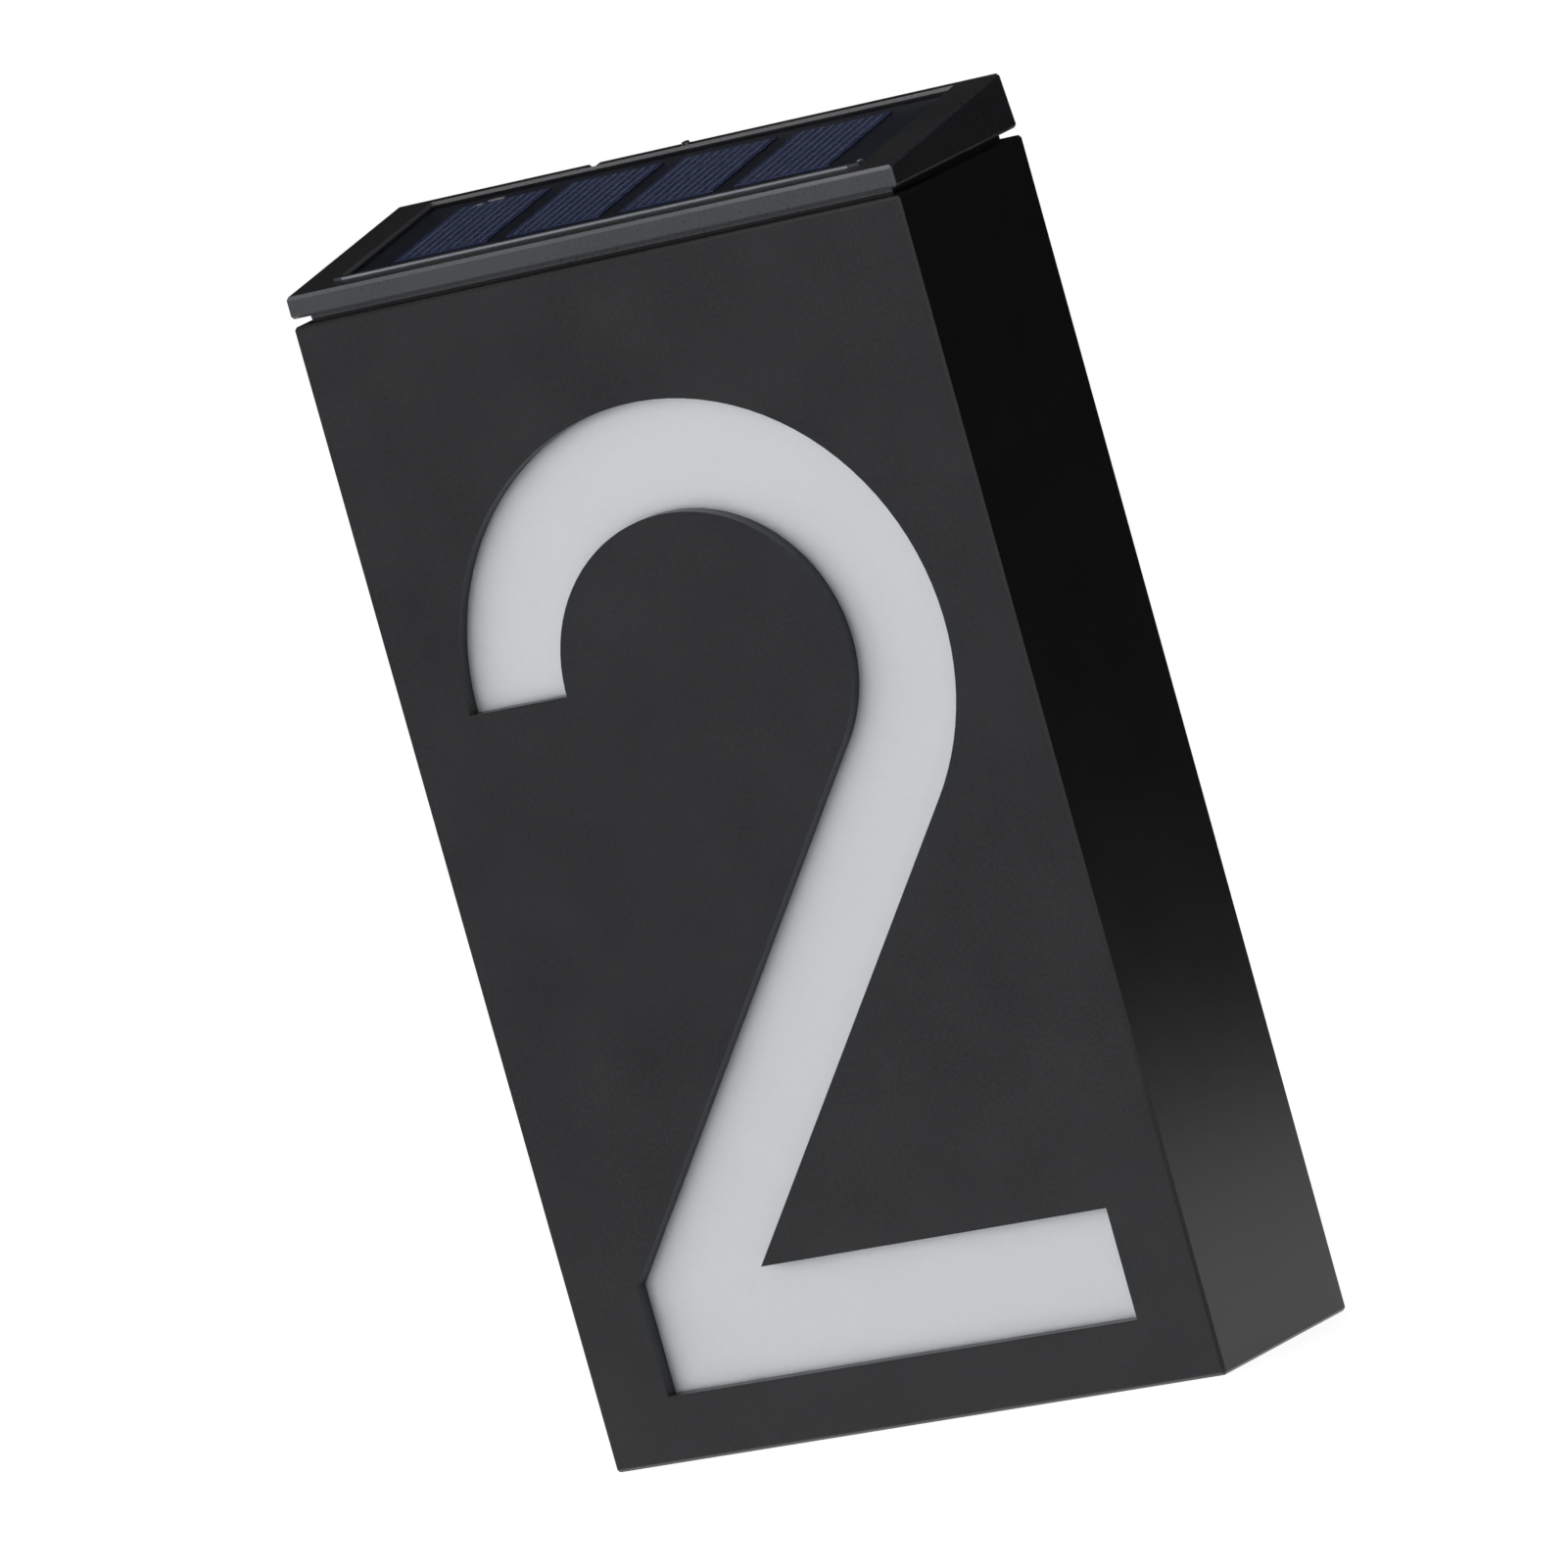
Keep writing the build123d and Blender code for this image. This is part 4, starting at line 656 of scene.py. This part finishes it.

# The sealant's pale grey colour is partly a painted highlight; its gloss and its wet, rounded shape are real.
finish(
    "sealant", (0.22, 0.236, 0.265), (0.27, 0.288, 0.32), (0.12, 0.22), 0.003, 0.00002,
    Specular_IOR_Level=HIGH_GLOSS,
)
bpy.ops.object.select_all(action="DESELECT")
bpy.ops.mesh.primitive_cylinder_add(
    vertices=24, radius=BEAD_RADIUS, depth=BEAD_LENGTH, rotation=(0, pi / 2, 0)
)
bead = bpy.context.object
shape_with(bead, "BEVEL", width=BEAD_ROUNDING, segments=3, limit_method="ANGLE", angle_limit=BEAD_CORNER)
bpy.ops.object.transform_apply(rotation=True)
bpy.ops.object.mode_set(mode="EDIT")
bpy.ops.mesh.select_all(action="SELECT")
bpy.ops.mesh.bisect(plane_co=(0, 0, BEAD_UNDERSIDE), plane_no=(0, 0, 1), clear_inner=True, use_fill=True)
bpy.ops.object.mode_set(mode="OBJECT")
bpy.ops.object.shade_smooth_by_angle(angle=BEAD_SMOOTH)
bead.rotation_euler = (LID_TILT, 0, 0)
bead.location = on_panel(BEAD_MIDDLE, BEAD_ALONG, 0)

# %% The drop at its end
bpy.ops.object.select_all(action="DESELECT")
bpy.ops.mesh.primitive_uv_sphere_add(
    segments=24, ring_count=12, radius=DROP_RADIUS, location=on_panel(*DROP_SPOT)
)
drop = bpy.context.object
drop.scale = DROP_STRETCH
drop.rotation_euler = (LID_TILT, 0, 0)
bpy.ops.mesh.primitive_cube_add(size=DROP_RADIUS, location=on_panel(*TAIL_SPOT))
tail = bpy.context.object
shape_with(tail, "SUBSURF", levels=3, render_levels=3)
shape_with(drop, "BOOLEAN", object=tail, operation="UNION", solver="EXACT")
bpy.data.objects.remove(tail)
only(drop, bead)
bpy.ops.object.join()
bpy.ops.object.shade_smooth_by_angle(angle=BEAD_SMOOTH)
settle(bead, "window_sealant", "light", "sealant")
print("sealant", len(bead.data.polygons), "faces")

# %% [markdown]
# The cap isn't one even tone, because light and shade are painted onto parts of it. The flat rim round the
# window has painted shade, darker than the front, and the window's wall behind the cells has painted shade
# too. The bevels along the front and above that wall have a painted highlight: a paler colour, with a
# higher gloss. Each of them is a set of faces with its own place and direction, so a small test finds it and
# it gets one more finish.

# %% The cap's rim and lips
PARALLEL = 0.995
STEEP = 0.93
SLANTED = 0.3
RIM_DEPTH = 0.0002
FRONT_EDGE_BACK = -0.0145
BEHIND_CELLS = 0.005
ABOVE_CELLS = 0.166


def on_rim(face):
    """The flat rim round the window."""
    below = (LID_FRONT_EDGE - face.center).dot(OFF_SLOPE)
    return face.normal.dot(OFF_SLOPE) > PARALLEL and below < RIM_DEPTH


def on_front_edge(face):
    """The bevel between the cap's front and its rim."""
    slanted = SLANTED / 2 < face.normal.z < STEEP and face.normal.y < -SLANTED
    return slanted and face.center.y < FRONT_EDGE_BACK


def behind_cells(face):
    """The upper part of the cap behind the cells."""
    return face.center.y > BEHIND_CELLS and face.center.z > ABOVE_CELLS


def on_rear_wall(face):
    """The window's wall behind the cells."""
    return face.normal.y < -STEEP and behind_cells(face)


def on_rear_lip(face):
    """The bevel between that wall and the rim."""
    return -STEEP < face.normal.y < -SLANTED and behind_cells(face)


# Painted shade: the flat rim round the window gets a darker colour than the cap, for the weak light that
# falls on it, and the window's wall behind the cells gets an even darker one.
finish("rim_painted_shade", (0.014, 0.0145, 0.016), (0.034, 0.035, 0.037), (0.26, 0.36), 0.0005, 0.00001)
finish("recess_painted_shade", (0.006, 0.006, 0.007), (0.013, 0.013, 0.0145), (0.3, 0.4), 0.0005, 0.00001)
# Painted highlights: the bevel along the front and the bevel above the window's wall get a colour much paler
# than the cap's, with a higher gloss.
for name, dark, pale in (
    ("edge_painted_highlight", (0.11, 0.112, 0.118), (0.15, 0.153, 0.16)),
    ("lip_painted_highlight", (0.135, 0.135, 0.14), (0.175, 0.175, 0.18)),
):
    finish(name, dark, pale, (0.15, 0.25), 0.0005, 0.000004, Specular_IOR_Level=HIGH_GLOSS)
refinish(lid, "rim_painted_shade", on_rim)
refinish(lid, "edge_painted_highlight", on_front_edge)
refinish(lid, "recess_painted_shade", on_rear_wall)
refinish(lid, "lip_painted_highlight", on_rear_lip)

# %% [markdown]
# Two touches of solder show at the rear of the first cell, where its ribbon is joined. They are low pads
# with their edges rounded almost all the way up.

# %% Solder at the rear of the first cell
SOLDER_TOUCHES = ((-0.0308, 0.0263, 0.0027), (-0.0332, 0.0256, 0.001))
SOLDER_DEPTH = 0.0006
SOLDER_HEIGHT = 0.00008
SOLDER_ROUNDING = 0.45 * SOLDER_HEIGHT

finish("solder", (0.3, 0.31, 0.34), (0.4, 0.41, 0.44), (0.25, 0.35), 0.0003, 0.000004)
for number, (x, along, width) in enumerate(SOLDER_TOUCHES):
    bpy.ops.object.select_all(action="DESELECT")
    bpy.ops.mesh.primitive_cube_add(size=1)
    touch = bpy.context.object
    touch.scale = (width, SOLDER_DEPTH, SOLDER_HEIGHT)
    bpy.ops.object.transform_apply(scale=True)
    shape_with(touch, "BEVEL", width=SOLDER_ROUNDING, segments=3)
    touch.rotation_euler = (LID_TILT, 0, 0)
    touch.location = on_panel(x, along, CELL_DEPTH - SOLDER_HEIGHT / 2)
    settle(touch, f"solder_touch_{number + 1}", "light", "solder")

# %% [markdown]
# ## Metals, rubber and boards
# A metal has no colour under its gloss: with Metallic at 1 the colour tints the reflection itself, and brass,
# steel and nickel then differ by that tint and by how rough they are. These are small, so a fine grain is
# enough for them.

# %% Metals
finish("steel", (0.5, 0.5, 0.49), (0.64, 0.64, 0.62), (0.25, 0.45), 0.0002, 0.000004, Metallic=1.0)
finish("stainless", (0.5, 0.49, 0.48), (0.66, 0.65, 0.63), (0.2, 0.38), 0.0002, 0.000004, Metallic=1.0)
finish("brass", (0.6, 0.43, 0.17), (0.76, 0.58, 0.26), (0.2, 0.4), 0.0002, 0.000005, Metallic=1.0)
finish("nickel", (0.56, 0.55, 0.52), (0.7, 0.69, 0.66), (0.15, 0.3), 0.0003, 0.000003, Metallic=1.0)
dress("brass", "door_inserts")
rounded("battery_contacts", 0.0001, "nickel")
rounded("switch_body", 0.0002, "nickel")

# %% [markdown]
# Rubber and foam are rough all over and hardly shine. A circuit board lies under a thin glossy resist. A soft
# seal has rounder edges than a cut board, so each piece is rounded by its own width.

# %% Rubber, foam, boards and the rest
finish("rubber_black", (0.012, 0.012, 0.012), (0.026, 0.026, 0.026), (0.7, 0.9), 0.0003, 0.00001)
rounded("lid_gasket", 0.00015, "rubber_black")
rounded("lead_grommet", 0.00015, "rubber_black")
finish("seal_grey", (0.24, 0.24, 0.25), (0.31, 0.31, 0.32), (0.6, 0.8), 0.0004, 0.00001)
rounded("cover_gasket", 0.00025, "seal_grey", 3)
rounded("door_gasket", 0.0002, "seal_grey", 3)
rounded("switch_seal", 0.00015, "seal_grey")
finish("tape_white", (0.66, 0.66, 0.63), (0.78, 0.78, 0.75), (0.85, 1.0), 0.0004, 0.00006)
rounded("panel_tape", 0.00005, "tape_white")
finish("board_green", (0.016, 0.11, 0.05), (0.03, 0.17, 0.085), (0.25, 0.4), 0.0006, 0.000008)
rounded("control_board", 0.0001, "board_green")
finish("board_white", (0.8, 0.8, 0.78), (0.87, 0.87, 0.85), (0.3, 0.45), 0.0006, 0.000006)
rounded("led_board", 0.0001, "board_white")
finish("ferrite", (0.05, 0.05, 0.05), (0.09, 0.09, 0.09), (0.6, 0.8), 0.0003, 0.00002)
rounded("inductor", 0.0003, "ferrite", 3)
rounded("controller_chip", 0.00008, "chip_black")
finish("led_yellow", (0.8, 0.68, 0.24), (0.88, 0.78, 0.34), (0.3, 0.5), 0.0003, 0.000004)
rounded("leds", 0.0001, "led_yellow")
print(len(FINISHES), "finishes")

# %% [markdown]
# ## Leads
# Each lead is a soft wire that the light holds at both ends. A NURBS curve pulls a smooth line through the
# bends without passing through its own control points, much as a wire does, and the curve's bevel gives it
# a round section. Its order and end points are set after the points are in, or the curve stays a set of
# straight runs.

# %% Lay the leads
LEAD_RADIUS = 0.00055
LEAD_ROUTES = {
    "panel_leads": [
        [
            (36.5, -4.8, 164.18), (36.5, -4.8, 151), (34, -1.05, 138.05),
            (14.4, 3.7, 114.5), (14.4, 7.9, 114.5),
        ],
        [
            (36.5, -3.2, 164.5), (36.5, -3.2, 151), (34, 0.55, 138.05),
            (17.6, 3.7, 114.5), (17.6, 7.9, 114.5),
        ],
    ],
    "battery_leads": [
        [(-30.4, 3.15, 139.1), (-30.4, 3.15, 134.9), (-6, 3.7, 129.5), (-6, 7.9, 129.5)],
        [(30.4, 3.15, 139.1), (30.4, 3.15, 134.9), (6, 3.7, 129.5), (6, 7.9, 129.5)],
    ],
    "led_leads": [
        [(-2.2, -3.85, 119.05), (-2.2, 0.35, 119.05), (-6, 3.7, 114.5), (-6, 7.9, 114.5)],
        [(2.2, -3.85, 119.05), (2.2, 0.35, 119.05), (6, 3.7, 114.5), (6, 7.9, 114.5)],
    ],
}
finish("lead_red", (0.42, 0.02, 0.012), (0.55, 0.035, 0.022), (0.3, 0.45), 0.0006, 0.000004)
finish("lead_black", (0.012, 0.012, 0.013), (0.022, 0.022, 0.024), (0.3, 0.45), 0.0006, 0.000004)


def wire(name, points, radius):
    """Round wire along a smooth curve through a route of points in metres."""
    line = bpy.data.curves.new(name, "CURVE")
    line.dimensions = "3D"
    line.bevel_depth = radius
    line.bevel_resolution = 4
    line.use_fill_caps = True
    spline = line.splines.new("NURBS")
    spline.points.add(len(points) - 1)
    for spot, point in zip(spline.points, points):
        spot.co = (*point, 1)
    spline.order_u = 3
    spline.use_endpoint_u = True
    spline.resolution_u = 10
    piece = bpy.data.objects.new(name, line)
    bpy.context.collection.objects.link(piece)
    only(piece)
    bpy.ops.object.convert(target="MESH")
    bpy.ops.object.shade_smooth()
    return bpy.context.object


for node, routes in LEAD_ROUTES.items():
    for number, (route, colour) in enumerate(zip(routes, ("lead_black", "lead_red"))):
        piece = wire("lead", [Vector(point) * MM for point in route], LEAD_RADIUS)
        settle(piece, f"{node}_{number + 1}", "light", colour, node)
        skin = sum(face.area for face in piece.data.polygons)
        print(piece.name, round(skin / (tau * LEAD_RADIUS * MM), 1), "mm long")

# %% [markdown]
# ## Battery spring
# The spring under the cell is a cone of round wire. Its line follows from three facts: the wide end stands
# on the contact, it narrows at a steady slope, and it turns a little over three times. A smooth curve is
# laid through points on that line, and the wire is thin enough for its turns to stay apart.

# %% Wind the battery spring
SPRING_MIDDLE = Vector((-0.027, 0.00615, 0.1453))
SPRING_RISE = 0.0035
SPRING_BASE = 0.0046
SPRING_CONE = radians(22)
SPRING_TURNS = 3 / cos(SPRING_CONE)
SPRING_WIRE = 0.00035
POINTS_PER_TURN = 16


def spring_point(turns):
    """Point of the spring after so many turns from its wide end."""
    along = SPRING_RISE * turns / SPRING_TURNS
    reach = SPRING_BASE - along * tan(SPRING_CONE)
    return SPRING_MIDDLE + Vector((along, -reach * sin(tau * turns), reach * cos(tau * turns)))


spring_steps = range(int(SPRING_TURNS * POINTS_PER_TURN) + 1)
spring = wire("spring", [spring_point(step / POINTS_PER_TURN) for step in spring_steps], SPRING_WIRE)
settle(spring, "battery_spring_wound", "light", "nickel", "battery_spring")
print("spring", len(spring.data.polygons), "faces")

# %% [markdown]
# ## Rechargeable cell
# A cell is a steel can in a shrink wrap that rolls over the can's edges. It is round all over, so it grows
# from a disc: each step extrudes the disc's face upwards and resizes it to the next radius of an outline.
# Faces are then given one of three finishes by where they lie: bare can, green wrap, and the white ring
# round the positive end.

# %% Turn the cell
BATTERY_START = Vector((-0.02315, 0.00615, 0.1453))
BATTERY_OUTLINE = [
    (0.15, 4.9), (0.0, 5.1), (0.0, 6.5), (0.25, 7.0), (0.8, 7.25), (3.0, 7.25), (46.5, 7.25), (48.6, 7.25),
    (49.0, 7.05), (49.2, 6.6), (49.2, 5.2), (49.0, 5.0), (49.0, 3.1), (49.4, 2.75), (50.2, 2.7), (50.45, 2.5),
    (50.5, 2.2),
]
WHITE_RING_FROM = 0.0489
BATTERY_MIDDLE = 0.0247
CAN_REACH = 0.024
CAN_RADIUS = 0.0051

finish(
    "battery_wrap", (0.03, 0.2, 0.11), (0.05, 0.27, 0.15), (0.15, 0.3), 0.001, 0.000005,
    worn=(0.09, 0.32, 0.2),
)
finish("ring_white", (0.72, 0.72, 0.7), (0.8, 0.8, 0.78), (0.4, 0.5), 0.0005, 0.000004)


def turned(outline, vertices):
    """Round solid from half an outline of (height, radius) in millimetres, from the bottom up."""
    low, radius = outline[0]
    bpy.ops.object.select_all(action="DESELECT")
    bpy.ops.mesh.primitive_circle_add(
        vertices=vertices, radius=radius * MM, fill_type="NGON", location=(0, 0, low * MM)
    )
    piece = bpy.context.object
    bpy.ops.object.transform_apply(location=True)
    bpy.ops.object.mode_set(mode="EDIT")
    bpy.ops.mesh.select_all(action="SELECT")
    for height, reach in outline[1:]:
        bpy.ops.mesh.extrude_region_move(TRANSFORM_OT_translate={"value": (0, 0, (height - low) * MM)})
        bpy.ops.transform.resize(
            value=(reach / radius, reach / radius, 1), center_override=(0, 0, height * MM)
        )
        low, radius = height, reach
    bpy.ops.mesh.select_all(action="SELECT")
    bpy.ops.mesh.normals_make_consistent(inside=False)
    bpy.ops.object.mode_set(mode="OBJECT")
    bpy.ops.object.shade_smooth_by_angle(angle=SMOOTH_ANGLE)
    return piece


battery = turned(BATTERY_OUTLINE, 64)
battery.rotation_euler = (0, pi / 2, 0)
battery.location = BATTERY_START
settle(battery, "battery_cell", "light", "battery_wrap", "battery")


def on_ring(face):
    """The ring round the positive end."""
    return face.center.x - BATTERY_START.x > WHITE_RING_FROM


def on_can(face):
    """The bare can at either end, inside the wrap."""
    from_start = face.center - BATTERY_START
    return from_start.yz.length < CAN_RADIUS and abs(from_start.x - BATTERY_MIDDLE) > CAN_REACH


refinish(battery, "ring_white", on_ring)
refinish(battery, "nickel", on_can)
print("battery", len(battery.data.polygons), "faces")

# %% [markdown]
# ## Screws
# Four kinds of screw hold the light together, and they differ only in a few sizes, so one function makes
# them all. The core and its head grow from a disc as the cell does, two tapered bars are taken away to
# leave the cross recess, and the thread is a small triangle that the Screw modifier winds round the core.
# The thread's crest is as wide as the solid model's plain shank.

# %% Cut the cross recess
BAR_THICKNESS = 0.24
BAR_TAPER = 0.62


def cross_recess(piece, span, depth):
    """Cuts a tapered cross recess into a head whose top is at the origin."""
    for turn in (0, pi / 2):
        bpy.ops.object.select_all(action="DESELECT")
        bpy.ops.mesh.primitive_cube_add(size=1, location=(0, 0, 0))
        bar = bpy.context.object
        bar.scale = (span, span * BAR_THICKNESS, 2 * depth)
        bar.rotation_euler = (0, 0, turn)
        bpy.ops.object.transform_apply(scale=True, rotation=True)
        for corner in bar.data.vertices:
            if corner.co.z < 0:
                corner.co.x *= BAR_TAPER
                corner.co.y *= BAR_TAPER
        shape_with(piece, "BOOLEAN", object=bar, operation="DIFFERENCE", solver="EXACT")
        bpy.data.objects.remove(bar)


# %% Wind the thread
THREAD_ROOT = 0.92
THREAD_HALF = 0.42


def thread(core, crest, pitch, top, tip):
    """Closed helical ridge round a core, from a height down to another."""
    bpy.ops.object.select_all(action="DESELECT")
    bpy.ops.mesh.primitive_circle_add(vertices=3, radius=1, rotation=(pi / 2, 0, 0))
    ridge = bpy.context.object
    bpy.ops.object.transform_apply(rotation=True)
    reach = core * THREAD_ROOT
    corners = ((crest, 0), (reach, pitch * THREAD_HALF), (reach, -pitch * THREAD_HALF))
    for corner, (x, z) in zip(ridge.data.vertices, corners):
        corner.co = (x, 0, tip + z)
    turns = int((top - tip) / pitch)
    shape_with(
        ridge, "SCREW", axis="Z", screw_offset=pitch, iterations=turns, steps=20, render_steps=20,
        use_merge_vertices=True,
    )
    only(ridge)
    bpy.ops.object.mode_set(mode="EDIT")
    bpy.ops.mesh.select_all(action="SELECT")
    bpy.ops.mesh.fill_holes(sides=4)
    bpy.ops.mesh.normals_make_consistent(inside=False)
    bpy.ops.object.mode_set(mode="OBJECT")
    return ridge


# %% Make one screw
CORE_SHARE = 0.8
POINT_SHARE = 0.7
POINT_LENGTH = 0.25
HEAD_ROUNDING = 0.08
HEAD_EDGE = 0.06
RECESS_SPAN = 1.25
RECESS_SHARE = 0.8
RECESS_LIMIT = 0.9
THREAD_STARTS = 0.15
THREAD_ENDS = 0.5


def screw(head, cone, rim, shank, length, pitch):
    """Screw at the origin, head up, sizes in millimetres; a cone under the head, or none for a flat head."""
    core = shank * CORE_SHARE
    under = cone + rim
    outline = [(-length, core * POINT_SHARE), (-length + POINT_LENGTH, core), (-under, core)]
    outline += [(-rim, head - HEAD_ROUNDING / 2), (-rim / 2, head)]
    outline += [(-HEAD_EDGE, head), (0, head - HEAD_ROUNDING)]
    made = turned(outline, 40)
    cross_recess(made, head * RECESS_SPAN * MM, min(RECESS_LIMIT, under * RECESS_SHARE) * MM)
    top = -under - THREAD_STARTS
    tip = -length + THREAD_ENDS
    ridge = thread(core * MM, shank * MM, pitch * MM, top * MM, tip * MM)
    only(ridge, made)
    bpy.ops.object.join()
    bpy.ops.object.shade_smooth_by_angle(angle=SMOOTH_ANGLE)
    return made


# %% Place every screw
HEAD_TO_BACK = (-pi / 2, 0, 0)
HEAD_TO_FRONT = (pi / 2, 0, 0)
HEAD_DOWN = (pi, 0, 0)
BACK_FACE = 15.5


def place_screws(node, body, surface, turn, places, **sizes):
    """Makes one screw and lays a copy of it at each place, in millimetres."""
    pattern = screw(**sizes)
    for number, place in enumerate(places):
        only(pattern)
        bpy.ops.object.duplicate()
        copy = bpy.context.object
        copy.rotation_euler = turn
        copy.location = Vector(place) * MM
        settle(copy, f"{node}_{number + 1}", body, surface, node)
    print(node, len(places), "of", len(pattern.data.polygons), "faces")
    bpy.data.objects.remove(pattern)


place_screws(
    "cover_screws", "light", "stainless", HEAD_TO_BACK,
    [(x, BACK_FACE, z) for x in (-44.6, 44.6) for z in (8.0, 150.5)],
    head=2.4, cone=1.3, rim=0.14, shank=1.15, length=9.0, pitch=0.8,
)
place_screws(
    "door_screws", "door", "stainless", HEAD_TO_BACK, [(x, BACK_FACE, 145.3) for x in (-33.15, 33.15)],
    head=2.2, cone=1.0, rim=0.14, shank=1.2, length=8.0, pitch=0.5,
)
place_screws(
    "board_screws", "light", "steel", HEAD_TO_FRONT, [(x, 6.8, 122.0) for x in (-17.0, 17.0)],
    head=1.7, cone=0, rim=1.1, shank=0.8, length=5.3, pitch=0.5,
)
place_screws(
    "lid_screws", "light", "stainless", HEAD_DOWN, [(x, 8.0, 155.6) for x in (-39.0, 39.0)],
    head=2.1, cone=0, rim=1.4, shank=1.1, length=8.3, pitch=0.7,
)

# %% [markdown]
# ## Switch knob
# The knob is a small black pad on a stem, ridged so that a fingertip can push it. It starts as a cube of
# the pad's size. The inner face is inset and pushed in for the stem; the outer one is cut by four grooves
# with the Boolean modifier, and then all edges are rounded.

# %% Model the switch knob
KNOB_SPOT = Vector((-0.00125, 0.01475, 0.122))
KNOB_PAD = (0.003, 0.0007, 0.0026)
KNOB_STEM = (0.002, 0.0029, 0.0014)
GROOVE_RADIUS = 0.00022
GROOVE_STEP = 0.00064
GROOVE_LENGTH = 0.004
KNOB_ROUNDING = 0.00006
KNOB_CORNER = radians(50)

bpy.ops.object.select_all(action="DESELECT")
bpy.ops.mesh.primitive_cube_add(size=1, location=KNOB_SPOT)
knob = bpy.context.object
knob.scale = KNOB_PAD
bpy.ops.object.transform_apply(scale=True)
edit_faces(knob, lambda face: face.normal.y < -STEEP)
bpy.ops.mesh.extrude_region_move()
bpy.ops.transform.resize(
    value=(KNOB_STEM[0] / KNOB_PAD[0], 1, KNOB_STEM[2] / KNOB_PAD[2]), center_override=KNOB_SPOT
)
bpy.ops.mesh.extrude_region_move(TRANSFORM_OT_translate={"value": (0, -KNOB_STEM[1], 0)})
bpy.ops.object.mode_set(mode="OBJECT")
for step in (-1.5, -0.5, 0.5, 1.5):
    bpy.ops.object.select_all(action="DESELECT")
    spot = KNOB_SPOT + Vector((step * GROOVE_STEP, KNOB_PAD[1] / 2, 0))
    bpy.ops.mesh.primitive_cylinder_add(vertices=16, radius=GROOVE_RADIUS, depth=GROOVE_LENGTH, location=spot)
    cutter = bpy.context.object
    shape_with(knob, "BOOLEAN", object=cutter, operation="DIFFERENCE", solver="EXACT")
    bpy.data.objects.remove(cutter)
shape_with(knob, "BEVEL", width=KNOB_ROUNDING, segments=2, limit_method="ANGLE", angle_limit=KNOB_CORNER)
bpy.ops.object.shade_smooth_by_angle(angle=SMOOTH_ANGLE)
settle(knob, "switch_knob_ridged", "knob", "chip_black", "switch_knob")
print("knob", len(knob.data.polygons), "faces")
